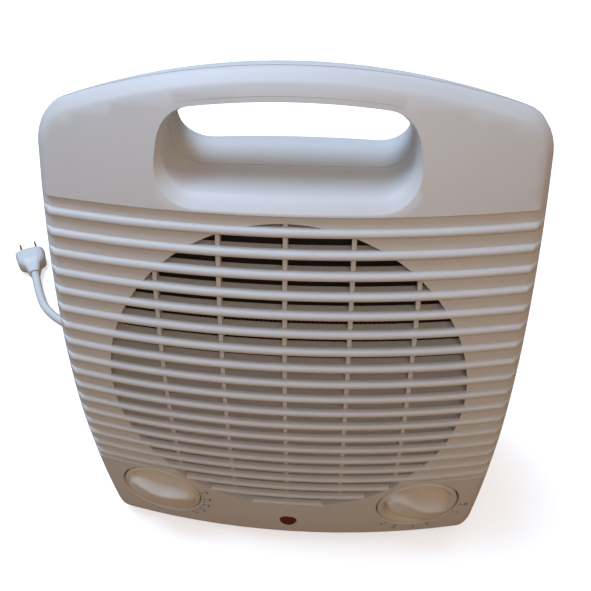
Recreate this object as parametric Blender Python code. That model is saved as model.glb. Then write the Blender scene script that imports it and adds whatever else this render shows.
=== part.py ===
"""Compact ceramic space heater: a two-shell plastic body with a carry slot through its top, a
round louvred outlet, a PTC element, an axial fan, two turning knobs and a mains cord.

Units are metres. +Z is up, the outlet looks along -Y, and the origin is on the surface that the
heater stands on, under the middle of the body.
"""

import math

import bmesh
import bpy
from mathutils import Matrix, Vector

# Body
WIDTH = 0.207
DEPTH = 0.128
HEIGHT = 0.2535
WALL = 0.0025
GAP = 0.0003
FOOT_HEIGHT = 0.004
TOP_ARCH_RADIUS = 0.310
TOP_CORNER_RADIUS = 0.017
BASE_CORNER_RADIUS = 0.0085

# Bowed front and back; the handle's two halves meet at the parting plane
PARTING_FROM_FRONT = 0.060
HANDLE_FRONT_DEPTH = 0.0064
HANDLE_BACK_DEPTH = 0.0107
FRONT_BOW_ACROSS = 0.473
FRONT_BOW_LOWER = 0.568
FRONT_PEAK_HEIGHT = 0.079
BACK_BOW_ACROSS = 0.350
BACK_PEAK_HEIGHT = 0.065

# Carry slot
SLOT_WIDTH = 0.100
SLOT_HEIGHT = 0.0313
SLOT_CORNER_RADIUS = 0.013
HANDLE_THICKNESS = 0.011
TUNNEL_WALL = 0.0022

# Knobs
KNOB_RADIUS = 0.0214
KNOB_CLEARANCE = 0.0006
KNOB_SIDE_MARGIN = 0.0126
KNOB_BASE_MARGIN = 0.0144
KNOB_WELL_DEPTH = 0.0085
KNOB_WELL_WALL = 0.0018
KNOB_SKIRT = 0.0075
KNOB_EDGE = 0.0008
GRIP_LENGTH = 0.037
GRIP_WIDTH = 0.012
GRIP_STAND = 0.006
SPINDLE_RADIUS = 0.003
SPINDLE_CLEARANCE = 0.001
SPINDLE_TAIL = 0.004
SOCKET_ROOF = 0.002
CONTROL_LENGTH = 0.020
CONTROL_SIDE = 0.026
CONTROL_POCKET = 0.005
THERMOSTAT_TURN = -14.0
MODE_TURN = -28.0

# Outlet grille
SLOT_TO_FIELD = 0.0052
OUTLET_TOP_MARGIN = 0.0035
OUTLET_SIDE_MARGIN = 0.0221
KNOB_WEB = 0.00355
FIELD_TO_KNOB = 0.0018
FIELD_RECESS = 0.0018
STEP_DRAFT = 0.00015
RIB_PITCH = 0.0083
RIB_TOP_MARGIN = 0.00665
RIB_HEIGHT = 0.003
RIB_EMBED = 0.0012
BLADE_THICKNESS = 0.0017
BLADE_DEPTH = 0.0075
STAY_SPACING = 0.0276
STAYS_EACH_SIDE = 2
STAY_WIDTH = 0.0019
STAY_SETBACK = 0.0035
COLLAR_WALL = 0.0025

# Intake grille
INTAKE_SET_IN = 0.0234
INTAKE_SLOT_HEIGHT = 0.0042
INTAKE_PITCH = 0.0085
INTAKE_STAY_WIDTH = 0.004

# Pilot light
LENS_RADIUS = 0.0045
LENS_HEIGHT = 0.0229
LENS_STAND = 0.0012
LENS_TAIL = 0.002
LAMP_RADIUS = 0.0026
LAMP_LENGTH = 0.014

# Element
ELEMENT_SIDE_SET_IN = 0.0344
ELEMENT_TOP_SET_IN = 0.0494
ELEMENT_DEPTH = 0.014
ELEMENT_RODS = 7
ELEMENT_GROOVE = 0.0035
ELEMENT_BAR_END = 0.004
FRAME_PLATE = 0.0025
FRAME_BORDER = 0.004

# Fan and motor
ELEMENT_TO_FAN = 0.0112
FAN_SET_IN = 0.0174
FAN_TIP_CLEARANCE = 0.0035
FAN_BLADES = 5
FAN_HUB_RADIUS = 0.016
FAN_DEPTH = 0.014
BLADE_SKIN = 0.0016
BLADE_ROOT_SINK = 0.003
BLADE_ROOT_CHORD = 0.026
BLADE_TIP_CHORD = 0.046
BLADE_ROOT_PITCH = 40.0
BLADE_TIP_PITCH = 20.0
BLADE_SWEEP = 0.9
BLADE_SECTIONS = 4
SHAFT_RADIUS = 0.002
SHAFT_CLEARANCE = 0.0003
SHAFT_SEAT = 0.0025
ROTOR_RADIUS = 0.0105
CORE_SIDE = 0.044
FAN_TO_BRACKET = 0.005
BACK_CLEARANCE = 0.0025
BRACKET_PLATE = 0.002
BRACKET_WIDTH = 0.016
BRACKET_STANDOFF = 0.006
BUSH_RADIUS = 0.0048
BUSH_LENGTH = 0.005
COIL_WIDTH = 0.026
COIL_DROP = 0.011
COIL_OVERHANG = 0.003
CORE_CROWN = 0.7
POST_RADIUS = 0.0022
SHROUD_PLATE = 0.0025
DUCT_WALL = 0.002

# Thermal cut-out, fuse and tip-over switch
CUTOUT_RADIUS = 0.008
CUTOUT_LENGTH = 0.007
CUTOUT_X = -0.018
CUTOUT_RISE = 0.012
FUSE_LEFT = 0.010
FUSE_SIZE = (0.016, 0.004, 0.004)
FUSE_STANDOFF = 0.001
TIP_SWITCH_SIZE = (0.028, 0.018, 0.018)
TIP_SWITCH_FRONT = 0.012

# Fasteners and feet
SCREW_HEAD_RADIUS = 0.0035
SCREW_HEAD_HEIGHT = 0.0022
SCREW_SHANK_RADIUS = 0.0013
SCREW_LENGTH = 0.014
SCREW_TIP_CLEARANCE = 0.003
SCREW_RECESS_DEPTH = 0.0014
SCREW_RECESS_RADII = (0.0011, 0.0016)
SCREW_SIDE_MARGIN = 0.0095
SCREW_LOW = 0.018
SCREW_BELOW_TOP = 0.0575
BOSS_RADIUS = 0.0058
BOSS_FLOOR = 0.003
FOOT_RADIUS = 0.007
FOOT_CHAMFER = 0.0008
FOOT_SIDE_MARGIN = 0.0235
FOOT_FROM_FRONT = 0.024
FOOT_FROM_BACK = 0.026

# Mains cord
CORD_DIAMETER = 0.0065
CORD_EXIT_SIDE = -0.062
CORD_EXIT_HEIGHT = 0.020
RELIEF_WALL = 0.0022
RELIEF_FLANGE = 0.0022
RELIEF_STANDOFF = 0.0024
RELIEF_TAIL = 0.004
CORD_INNER_LENGTH = 0.022
TERMINAL_CLEARANCE = 0.003
TERMINAL_WIDTH = 0.016
TERMINAL_DEPTH = 0.014
TERMINAL_HEIGHT = 0.012
CLAMP_WIDTH = 0.014
CLAMP_DEPTH = 0.010
CLAMP_CLEARANCE = 0.006
COIL_CENTRE = (0.020, 0.118)
COIL_TURN_RADII = (0.0294, 0.0498)
COIL_HEIGHT = 0.0127
PLUG_LENGTH = 0.030
PLUG_SECTIONS = (
    (0.0, 0.0042, 0.0042),
    (0.010, 0.0065, 0.0055),
    (0.016, 0.0115, 0.0078),
    (PLUG_LENGTH, 0.0125, 0.0083),
)
PLUG_SQUARENESS = 0.6
PLUG_STEPS = 16
PIN_SPACING = 0.0127
PIN_LENGTH = 0.016
PIN_WIDTH = 0.0063
PIN_THICKNESS = 0.0015

# How far a cutter reaches past what it cuts
CUT_MARGIN = 0.01

# Facets
BOW_STEPS = 8
ARC_STEPS = 5
RING_STEPS = 36
ROUND_STEPS = 24
SMALL_STEPS = 10

# Worked out from the sizes above
FRONT_Y = -DEPTH / 2
BACK_Y = DEPTH / 2
PARTING_Y = FRONT_Y + PARTING_FROM_FRONT
FRONT_BOW_UPPER = (HEIGHT - FRONT_PEAK_HEIGHT) ** 2 / (2 * (PARTING_FROM_FRONT - HANDLE_FRONT_DEPTH))
BACK_LEAN = DEPTH - PARTING_FROM_FRONT - HANDLE_BACK_DEPTH
BACK_BOW_UP = (HEIGHT - BACK_PEAK_HEIGHT) ** 2 / (2 * BACK_LEAN)
ARCH_CENTRE_Z = HEIGHT - TOP_ARCH_RADIUS
SLOT_TOP_RADIUS = TOP_ARCH_RADIUS - HANDLE_THICKNESS
SLOT_BOTTOM = ARCH_CENTRE_Z + SLOT_TOP_RADIUS - SLOT_HEIGHT
KNOB_X = WIDTH / 2 - KNOB_SIDE_MARGIN - KNOB_RADIUS
KNOB_HEIGHT = FOOT_HEIGHT + KNOB_BASE_MARGIN + KNOB_RADIUS
FIELD_TOP = SLOT_BOTTOM - SLOT_TO_FIELD
FIELD_BOTTOM = KNOB_HEIGHT + KNOB_RADIUS + FIELD_TO_KNOB
# The outlet is as large as the sides and the two knobs leave room for.
OUTLET_TOP = FIELD_TOP - OUTLET_TOP_MARGIN
KNOB_DROP = OUTLET_TOP - KNOB_HEIGHT
KNOB_REACH = KNOB_RADIUS + KNOB_CLEARANCE + KNOB_WEB
OUTLET_RADIUS = min(
    WIDTH / 2 - OUTLET_SIDE_MARGIN,
    (KNOB_X**2 + KNOB_DROP**2 - KNOB_REACH**2) / (2 * (KNOB_DROP + KNOB_REACH)),
)
OUTLET_HEIGHT = OUTLET_TOP - OUTLET_RADIUS
FIRST_RIB = FIELD_TOP - RIB_TOP_MARGIN
RIB_SPAN = FIRST_RIB - min(OUTLET_HEIGHT - OUTLET_RADIUS, FIELD_BOTTOM)
RIB_COUNT = int(RIB_SPAN / RIB_PITCH) + 1
# The collar, element, fan and motor stand behind the grille in one row.
OUTLET_LEAN = max(OUTLET_TOP - FRONT_PEAK_HEIGHT, 0) ** 2 / (2 * FRONT_BOW_UPPER)
COLLAR_BACK = FRONT_Y + OUTLET_LEAN + BLADE_DEPTH + RIB_EMBED + GAP
INTAKE_RADIUS = OUTLET_RADIUS - INTAKE_SET_IN
ELEMENT_WIDTH = 2 * (OUTLET_RADIUS - ELEMENT_SIDE_SET_IN)
ELEMENT_HEIGHT = 2 * (OUTLET_RADIUS - ELEMENT_TOP_SET_IN)
FAN_RADIUS = OUTLET_RADIUS - FAN_SET_IN
BACK_INSIDE = BACK_Y - (OUTLET_HEIGHT + BRACKET_WIDTH - BACK_PEAK_HEIGHT) ** 2 / (2 * BACK_BOW_UP) - WALL
MOTOR_BACK = BACK_INSIDE - CORE_SIDE**2 / (8 * BACK_BOW_ACROSS) - BACK_CLEARANCE
FAN_FRONT = COLLAR_BACK + FRAME_PLATE + ELEMENT_DEPTH + ELEMENT_TO_FAN
CORE_FRONT = FAN_FRONT + FAN_DEPTH + FAN_TO_BRACKET + BRACKET_STANDOFF
CORE_DEPTH = MOTOR_BACK - BUSH_LENGTH / 2 - BRACKET_STANDOFF - CORE_FRONT
SHROUD_BORE = FAN_RADIUS + FAN_TIP_CLEARANCE
SCREW_X = WIDTH / 2 - SCREW_SIDE_MARGIN
SCREW_HIGH = HEIGHT - SCREW_BELOW_TOP
RELIEF_NECK = CORD_DIAMETER / 2 + RELIEF_WALL


def clear_scene():
    for found in list(bpy.data.objects):
        bpy.data.objects.remove(found, do_unlink=True)


def plastic(name, colour, roughness, metallic=0.0):
    made = bpy.data.materials.new(name)
    made.use_nodes = True
    shader = made.node_tree.nodes["Principled BSDF"]
    shader.inputs["Base Color"].default_value = (*colour, 1.0)
    shader.inputs["Roughness"].default_value = roughness
    shader.inputs["Metallic"].default_value = metallic
    return made


def object_from(name, shape, material=None):
    """Makes an object of a finished bmesh, with its normals turned outwards."""
    bmesh.ops.recalc_face_normals(shape, faces=shape.faces)
    mesh = bpy.data.meshes.new(name)
    shape.to_mesh(mesh)
    shape.free()
    made = bpy.data.objects.new(name, mesh)
    bpy.context.scene.collection.objects.link(made)
    if material:
        mesh.materials.append(material)
        mesh.shade_smooth()
        mesh.set_sharp_from_angle(angle=math.radians(35))
    return made


def cutter(made):
    made.hide_render = True
    made.display_type = "WIRE"
    return made


def arc(centre, radius, start, end, steps):
    """Points along an arc, both ends included; angles are in radians from +X towards +Z."""
    return [
        (
            centre[0] + radius * math.cos(start + (end - start) * step / steps),
            centre[1] + radius * math.sin(start + (end - start) * step / steps),
        )
        for step in range(steps + 1)
    ]


def arched_outline(half_width, bottom, top_radius, top_corner, bottom_corner):
    """An upright outline with straight sides and a top concentric with the body's arch."""
    corner_x = half_width - top_corner
    reach = top_radius - top_corner
    corner_z = ARCH_CENTRE_Z + math.sqrt(reach**2 - corner_x**2)
    lean = math.atan2(corner_z - ARCH_CENTRE_Z, corner_x)
    low = (half_width - bottom_corner, bottom + bottom_corner)
    right = arc(low, bottom_corner, -math.pi / 2, 0, ARC_STEPS)
    right += arc((corner_x, corner_z), top_corner, 0, lean, ARC_STEPS)
    top = arc((0, ARCH_CENTRE_Z), top_radius, lean, math.pi - lean, 2 * ARC_STEPS)[1:-1]
    left = [(-x, z) for x, z in reversed(right)]
    return right + top + left


def body_outline(inset):
    return arched_outline(
        WIDTH / 2 - inset,
        FOOT_HEIGHT + inset,
        TOP_ARCH_RADIUS - inset,
        TOP_CORNER_RADIUS - inset,
        BASE_CORNER_RADIUS - inset,
    )


def slot_outline(grow):
    return arched_outline(
        SLOT_WIDTH / 2 + grow,
        SLOT_BOTTOM - grow,
        SLOT_TOP_RADIUS + grow,
        SLOT_CORNER_RADIUS + grow,
        SLOT_CORNER_RADIUS + grow,
    )


def prism(name, outline, front, back, material=None):
    """An upright outline in X and Z, extruded from front to back along Y."""
    shape = bmesh.new()
    first = shape.faces.new([shape.verts.new((x, front, z)) for x, z in outline])
    grown = bmesh.ops.extrude_face_region(shape, geom=[first])["geom"]
    moved = [item for item in grown if isinstance(item, bmesh.types.BMVert)]
    bmesh.ops.translate(shape, vec=(0, back - front, 0), verts=moved)
    return object_from(name, shape, material)


def box(name, low, high, material=None):
    outline = [(low[0], low[2]), (high[0], low[2]), (high[0], high[2]), (low[0], high[2])]
    return prism(name, outline, low[1], high[1], material)


def turned(name, profile, material=None, steps=ROUND_STEPS, place=None):
    """Turns (radius, height) points about Z; points at radius 0 close the ends."""
    shape = bmesh.new()
    ring_points = [shape.verts.new((radius, 0, height)) for radius, height in profile]
    closed = profile[0][0] > 0 and profile[-1][0] > 0
    pairs = list(zip(ring_points, ring_points[1:]))
    if closed:
        pairs.append((ring_points[-1], ring_points[0]))
    edges = [shape.edges.new(pair) for pair in pairs]
    bmesh.ops.spin(
        shape,
        geom=ring_points + edges,
        cent=(0, 0, 0),
        axis=(0, 0, 1),
        angle=2 * math.pi,
        steps=steps,
        use_merge=True,
    )
    bmesh.ops.remove_doubles(shape, verts=shape.verts, dist=1e-7)
    if place:
        bmesh.ops.transform(shape, matrix=place, verts=shape.verts)
    return object_from(name, shape, material)


def along_y(x, y, z):
    """Places a turned shape with its axis along +Y, starting at this point."""
    return Matrix.Translation((x, y, z)) @ Matrix.Rotation(-math.pi / 2, 4, "X")


def disc(name, radius, front, back, x=0.0, z=0.0, material=None, steps=ROUND_STEPS, bore=0.0):
    """A round bar along Y, or a tube where it has a bore."""
    length = back - front
    profile = [(bore, length), (radius, length), (radius, 0), (bore, 0)]
    return turned(name, profile, material, steps, along_y(x, front, z))


def boolean(target, operation, *others):
    """Joins or cuts with each of the other objects, all closed, then removes them.

    The thin bars that cross the bowed skin need the solver for closed meshes.
    """
    for other in others:
        cutter(other)
        modifier = target.modifiers.new(operation.title(), "BOOLEAN")
        modifier.operation = operation
        modifier.object = other
        modifier.solver = "MANIFOLD"
    bake(target)
    for other in others:
        bpy.data.objects.remove(other, do_unlink=True)
    return target


def bake(target):
    graph = bpy.context.evaluated_depsgraph_get()
    mesh = bpy.data.meshes.new_from_object(target.evaluated_get(graph))
    target.modifiers.clear()
    target.data = mesh
    if mesh.materials:
        mesh.shade_smooth()
        mesh.set_sharp_from_angle(angle=math.radians(35))


def front_face(x, z):
    """Y of the front's smooth skin, bowed across and up."""
    rise = z - FRONT_PEAK_HEIGHT
    bow = FRONT_BOW_UPPER if rise > 0 else FRONT_BOW_LOWER
    across = FRONT_BOW_ACROSS - math.sqrt(FRONT_BOW_ACROSS**2 - x**2)
    return FRONT_Y + across + rise**2 / (2 * bow)


def back_face(x, z):
    """Y of the back's domed skin."""
    rise = z - BACK_PEAK_HEIGHT
    return BACK_Y - rise**2 / (2 * BACK_BOW_UP) - x**2 / (2 * BACK_BOW_ACROSS)


RELIEF_FRONT = back_face(CORD_EXIT_SIDE, CORD_EXIT_HEIGHT) - WALL - RELIEF_TAIL


def field_depth(z):
    """How far the skin is set back: the ribbed field lies lower than the panels round it."""
    return FIELD_RECESS if FIELD_BOTTOM < z < FIELD_TOP else 0.0


def spaced(low, high, count):
    return [low + (high - low) * step / count for step in range(count + 1)]


def bowed_block(name, surface, far, breaks=()):
    """A block whose one face follows surface(x, z) and whose other face is flat, at Y far."""
    margin = 0.004
    across = spaced(-WIDTH / 2 - margin, WIDTH / 2 + margin, BOW_STEPS)
    up = spaced(FOOT_HEIGHT - margin, HEIGHT + margin, BOW_STEPS + 4)
    for height in breaks:
        up = [z for z in up if abs(z - height) > margin / 2]
        up += [height - STEP_DRAFT, height + STEP_DRAFT]
    up.sort()
    shape = bmesh.new()
    rows = [[shape.verts.new((x, surface(x, z), z)) for x in across] for z in up]
    for below, above in zip(rows, rows[1:]):
        for i in range(len(across) - 1):
            shape.faces.new((below[i], below[i + 1], above[i + 1], above[i]))
    rim = [edge for edge in shape.edges if edge.is_boundary]
    grown = bmesh.ops.extrude_edge_only(shape, edges=rim)["geom"]
    back_rim = []
    for item in grown:
        if isinstance(item, bmesh.types.BMVert):
            item.co.y = far
        elif isinstance(item, bmesh.types.BMEdge):
            back_rim.append(item)
    bmesh.ops.contextual_create(shape, geom=back_rim)
    return object_from(name, shape)


def half_body(name, inset, surface, far, parting, breaks=()):
    """The body's outline, drawn in by inset, between a bowed face and the parting plane."""
    block = prism(name, body_outline(inset), far, parting)
    return boolean(block, "INTERSECT", bowed_block(name + "_bow", surface, parting * 2 - far, breaks))


def swept_bar(name, path, thickness_axis, thickness, near, deep):
    """A flat bar that follows a path of (x, z) points on the front face, from near to deep."""
    shape = bmesh.new()
    half = thickness / 2
    side = Vector((0, 0, half)) if thickness_axis == "Z" else Vector((half, 0, 0))
    rings = []
    for x, z in path:
        y = front_face(x, z)
        front_point, back_point = Vector((x, y + near, z)), Vector((x, y + deep, z))
        corners = (front_point - side, front_point + side, back_point + side, back_point - side)
        rings.append([shape.verts.new(corner) for corner in corners])
    for before, after in zip(rings, rings[1:]):
        for i in range(4):
            j = (i + 1) % 4
            shape.faces.new((before[i], before[j], after[j], after[i]))
    shape.faces.new(rings[0])
    shape.faces.new(reversed(rings[-1]))
    return object_from(name, shape)


def chord(offset, radius):
    return math.sqrt(radius**2 - offset**2)


def grille_bars():
    """Rib noses across the field, deeper blades inside the outlet, and the upright stays."""
    bars = []
    anchor = OUTLET_RADIUS + COLLAR_WALL / 2
    for index in range(RIB_COUNT):
        z = FIRST_RIB - index * RIB_PITCH
        offset = abs(z - OUTLET_HEIGHT)
        inside = chord(offset, anchor) if offset < OUTLET_RADIUS else 0
        wide = WIDTH / 2 - GAP if z > FIELD_BOTTOM + RIB_HEIGHT / 2 else inside
        if wide:
            nose = [(x, z) for x in spaced(-wide, wide, BOW_STEPS)]
            bars.append(swept_bar("nose", nose, "Z", RIB_HEIGHT, 0, FIELD_RECESS + RIB_EMBED))
        if inside:
            blade = [(x, z) for x in spaced(-inside, inside, BOW_STEPS - 2)]
            bars.append(swept_bar("blade", blade, "Z", BLADE_THICKNESS, RIB_EMBED, BLADE_DEPTH))
    for index in range(-STAYS_EACH_SIDE, STAYS_EACH_SIDE + 1):
        x = index * STAY_SPACING
        if abs(x) > OUTLET_RADIUS - STAY_WIDTH:
            continue
        reach = chord(x, anchor)
        stay = [(x, OUTLET_HEIGHT + up) for up in spaced(-reach, reach, BOW_STEPS)]
        bars.append(swept_bar("stay", stay, "X", STAY_WIDTH, STAY_SETBACK, BLADE_DEPTH + RIB_EMBED))
    return bars


def knob_place(side, turn=0.0):
    """A frame on the front face at one knob: its Z points out of the face."""
    x = side * KNOB_X
    step = 1e-4
    slope_x = (front_face(x + step, KNOB_HEIGHT) - front_face(x - step, KNOB_HEIGHT)) / (2 * step)
    slope_z = (front_face(x, KNOB_HEIGHT + step) - front_face(x, KNOB_HEIGHT - step)) / (2 * step)
    outward = Vector((slope_x, -1, slope_z)).normalized()
    across = Vector((1, slope_x, 0)).normalized()
    up = outward.cross(across)
    frame = Matrix((across, up, outward)).transposed().to_4x4()
    place = Matrix.Translation((x, front_face(x, KNOB_HEIGHT), KNOB_HEIGHT))
    return place @ frame @ Matrix.Rotation(math.radians(turn), 4, "Z")


def screw_places():
    return [(side * SCREW_X, z) for z in (SCREW_LOW, SCREW_HIGH) for side in (-1, 1)]


def front_shell(material):
    edge = PARTING_Y - GAP / 2
    breaks = (FIELD_BOTTOM, FIELD_TOP)
    far = FRONT_Y - 0.02
    shell = half_body("front_shell", 0, lambda x, z: front_face(x, z) + field_depth(z), far, edge, breaks)
    hollow = half_body(
        "hollow", WALL, lambda x, z: front_face(x, z) + field_depth(z) + WALL, far, edge + 0.01, breaks
    )
    boolean(shell, "DIFFERENCE", hollow)
    tunnel = prism("tunnel", slot_outline(TUNNEL_WALL), FRONT_Y, edge)
    tunnel_bow = bowed_block("tunnel_bow", lambda x, z: front_face(x, z) + WALL / 2, BACK_Y)
    boolean(tunnel, "INTERSECT", tunnel_bow)
    collar_radius = OUTLET_RADIUS + COLLAR_WALL
    collar = disc("collar", collar_radius, FRONT_Y, COLLAR_BACK, z=OUTLET_HEIGHT, steps=RING_STEPS)
    buried = FIELD_RECESS + WALL / 2
    collar_bow = bowed_block("collar_bow", lambda x, z: front_face(x, z) + buried, BACK_Y)
    boolean(collar, "INTERSECT", collar_bow)
    boolean(shell, "UNION", tunnel, collar)
    outlet = disc("outlet", OUTLET_RADIUS, FRONT_Y - 0.01, 0, z=OUTLET_HEIGHT, steps=RING_STEPS)
    slot = prism("slot", slot_outline(0), FRONT_Y - 0.01, BACK_Y)
    boolean(shell, "DIFFERENCE", outlet, slot)
    boolean(shell, "UNION", *grille_bars())
    for x, z in screw_places():
        boss = disc("boss", BOSS_RADIUS - WALL / 2, front_face(x, z) + FIELD_RECESS + WALL / 2, edge, x, z,
                    steps=SMALL_STEPS)
        pilot = disc("pilot", SCREW_SHANK_RADIUS + GAP, edge - SCREW_LENGTH, edge + 0.01, x, z,
                     steps=SMALL_STEPS)
        boolean(shell, "UNION", boss)
        boolean(shell, "DIFFERENCE", pilot)
    for side in (-1, 1):
        add_knob_well(shell, side)
    lens_hole = disc("lens_hole", LENS_RADIUS + GAP, FRONT_Y - 0.01, FRONT_Y + 0.02, 0, LENS_HEIGHT,
                     steps=SMALL_STEPS)
    boolean(shell, "DIFFERENCE", lens_hole)
    shell.data.materials.clear()
    shell.data.materials.append(material)
    return shell


def add_knob_well(shell, side):
    """A cup behind the face for the knob's skirt, with a hole for the spindle in its floor."""
    place = knob_place(side)
    bore = KNOB_RADIUS + KNOB_CLEARANCE
    buried = -WALL / 2
    floor = -KNOB_WELL_DEPTH - KNOB_WELL_WALL
    outer = bore + KNOB_WELL_WALL
    cup = turned("cup", [(0, buried), (outer, buried), (outer, floor), (0, floor)], place=place)
    well_floor = -KNOB_WELL_DEPTH
    well = turned("well", [(0, 0.02), (bore, 0.02), (bore, well_floor), (0, well_floor)], place=place)
    hole_radius = SPINDLE_RADIUS + SPINDLE_CLEARANCE
    hole_ends = (0, floor - 0.002)
    hole = turned(
        "hole",
        [(0, hole_ends[0]), (hole_radius, hole_ends[0]), (hole_radius, hole_ends[1]), (0, hole_ends[1])],
        steps=SMALL_STEPS,
        place=place,
    )
    boolean(shell, "UNION", cup)
    boolean(shell, "DIFFERENCE", well, hole)


def rear_shell(material):
    edge = PARTING_Y + GAP / 2
    far = BACK_Y + 0.02
    shell = half_body("rear_shell", 0, back_face, far, edge)
    hollow = half_body("hollow", WALL, lambda x, z: back_face(x, z) - WALL, far, edge - 0.01)
    boolean(shell, "DIFFERENCE", hollow)
    tunnel = prism("tunnel", slot_outline(TUNNEL_WALL), edge, BACK_Y)
    tunnel_bow = bowed_block("tunnel_bow", lambda x, z: back_face(x, z) - WALL / 2, FRONT_Y)
    boolean(tunnel, "INTERSECT", tunnel_bow)
    boolean(shell, "UNION", tunnel)
    boolean(shell, "DIFFERENCE", prism("slot", slot_outline(0), FRONT_Y, far))
    for x, z in screw_places():
        buried = back_face(x, z) - WALL / 2
        boss = disc("boss", BOSS_RADIUS, edge, buried, x, z, steps=SMALL_STEPS)
        well = disc("well", SCREW_HEAD_RADIUS + GAP, edge + BOSS_FLOOR, far, x, z, steps=SMALL_STEPS)
        hole = disc("hole", SCREW_SHANK_RADIUS + GAP, edge - 0.01, far, x, z, steps=SMALL_STEPS)
        boolean(shell, "UNION", boss)
        boolean(shell, "DIFFERENCE", well, hole)
    for slot in intake_slots():
        boolean(shell, "DIFFERENCE", slot)
    hole_front = PARTING_Y + 2 * CUT_MARGIN
    cord_hole = disc(
        "cord_hole", RELIEF_NECK + GAP, hole_front, far, CORD_EXIT_SIDE, CORD_EXIT_HEIGHT, steps=SMALL_STEPS
    )
    boolean(shell, "DIFFERENCE", cord_hole)
    shell.data.materials.clear()
    shell.data.materials.append(material)
    return shell


def intake_slots():
    """Horizontal slots that fill a circle in the back, parted by one upright stay."""
    slots = []
    rows = int(INTAKE_RADIUS / INTAKE_PITCH)
    for row in range(-rows, rows + 1):
        reach = chord(row * INTAKE_PITCH, INTAKE_RADIUS)
        z = OUTLET_HEIGHT + row * INTAKE_PITCH
        for side in (-1, 1):
            ends = sorted((side * INTAKE_STAY_WIDTH / 2, side * reach))
            low = (ends[0], MOTOR_BACK, z - INTAKE_SLOT_HEIGHT / 2)
            high = (ends[1], BACK_Y + 0.01, z + INTAKE_SLOT_HEIGHT / 2)
            slots.append(box("intake", low, high))
    return slots


def knob(name, side, turn, material):
    """A dial with a raised wing grip; its origin is on the spindle's axis at the face."""
    base = -KNOB_WELL_DEPTH + 2 * GAP
    top = base + KNOB_SKIRT
    bevel = KNOB_EDGE
    socket = SPINDLE_RADIUS + GAP
    skirt = [(0, top), (KNOB_RADIUS - bevel, top), (KNOB_RADIUS, top - bevel), (KNOB_RADIUS, base), (0, base)]
    made = turned(name, skirt)
    half_length, half_width = GRIP_LENGTH / 2, GRIP_WIDTH / 2
    crest = top + GRIP_STAND
    grip_outline = arc((half_length - half_width, 0), half_width, -math.pi / 2, math.pi / 2, ARC_STEPS)
    grip_outline += [(-x, -y) for x, y in grip_outline]
    shape = bmesh.new()
    face = shape.faces.new([shape.verts.new((x, y, top - bevel)) for x, y in grip_outline])
    grown = bmesh.ops.extrude_face_region(shape, geom=[face])["geom"]
    for item in grown:
        if isinstance(item, bmesh.types.BMVert):
            item.co = (item.co.x * 0.96, item.co.y * 0.8, crest)
    boolean(made, "UNION", object_from("grip", shape))
    reach = top - SOCKET_ROOF
    boolean(
        made,
        "DIFFERENCE",
        turned("socket", [(0, reach), (socket, reach), (socket, base - 0.001), (0, base - 0.001)],
               steps=SMALL_STEPS),
    )
    made.data.materials.clear()
    made.data.materials.append(material)
    made.matrix_world = knob_place(side, turn)
    return made


def spindle(name, side, material):
    floor = -KNOB_WELL_DEPTH - KNOB_WELL_WALL
    top = -KNOB_WELL_DEPTH + KNOB_SKIRT - SOCKET_ROOF
    base = floor - SPINDLE_TAIL
    profile = [(0, top), (SPINDLE_RADIUS, top), (SPINDLE_RADIUS, base), (0, base)]
    made = turned(name, profile, material, SMALL_STEPS)
    made.matrix_world = knob_place(side)
    return made


def control_body(name, side, width, height, material):
    """A rotary control behind a knob's well: a block with a threaded collar round its spindle."""
    front = -KNOB_WELL_DEPTH - KNOB_WELL_WALL - GAP
    back = front - CONTROL_LENGTH
    made = box(name, (-width / 2, -height / 2, back), (width / 2, height / 2, front), material)
    pocket = SPINDLE_RADIUS + GAP
    pocket_floor = front - CONTROL_POCKET
    pocket_profile = [(0, 0), (pocket, 0), (pocket, pocket_floor), (0, pocket_floor)]
    hole = turned("hole", pocket_profile, steps=SMALL_STEPS)
    boolean(made, "DIFFERENCE", hole)
    made.matrix_world = knob_place(side)
    return made


def pilot_light(lens_material, lamp_material):
    y = front_face(0, LENS_HEIGHT)
    profile = [
        (0, WALL + LENS_TAIL),
        (LENS_RADIUS - GAP, WALL + LENS_TAIL),
        (LENS_RADIUS, 0),
        (LENS_RADIUS * 0.8, -LENS_STAND * 0.7),
        (0, -LENS_STAND),
    ]
    turned("pilot_lens", profile, lens_material, SMALL_STEPS, along_y(0, y, LENS_HEIGHT))
    lamp_front = y + WALL + LENS_TAIL + GAP
    disc("pilot_lamp", LAMP_RADIUS, lamp_front, lamp_front + LAMP_LENGTH, 0, LENS_HEIGHT, lamp_material,
         SMALL_STEPS)


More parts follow.
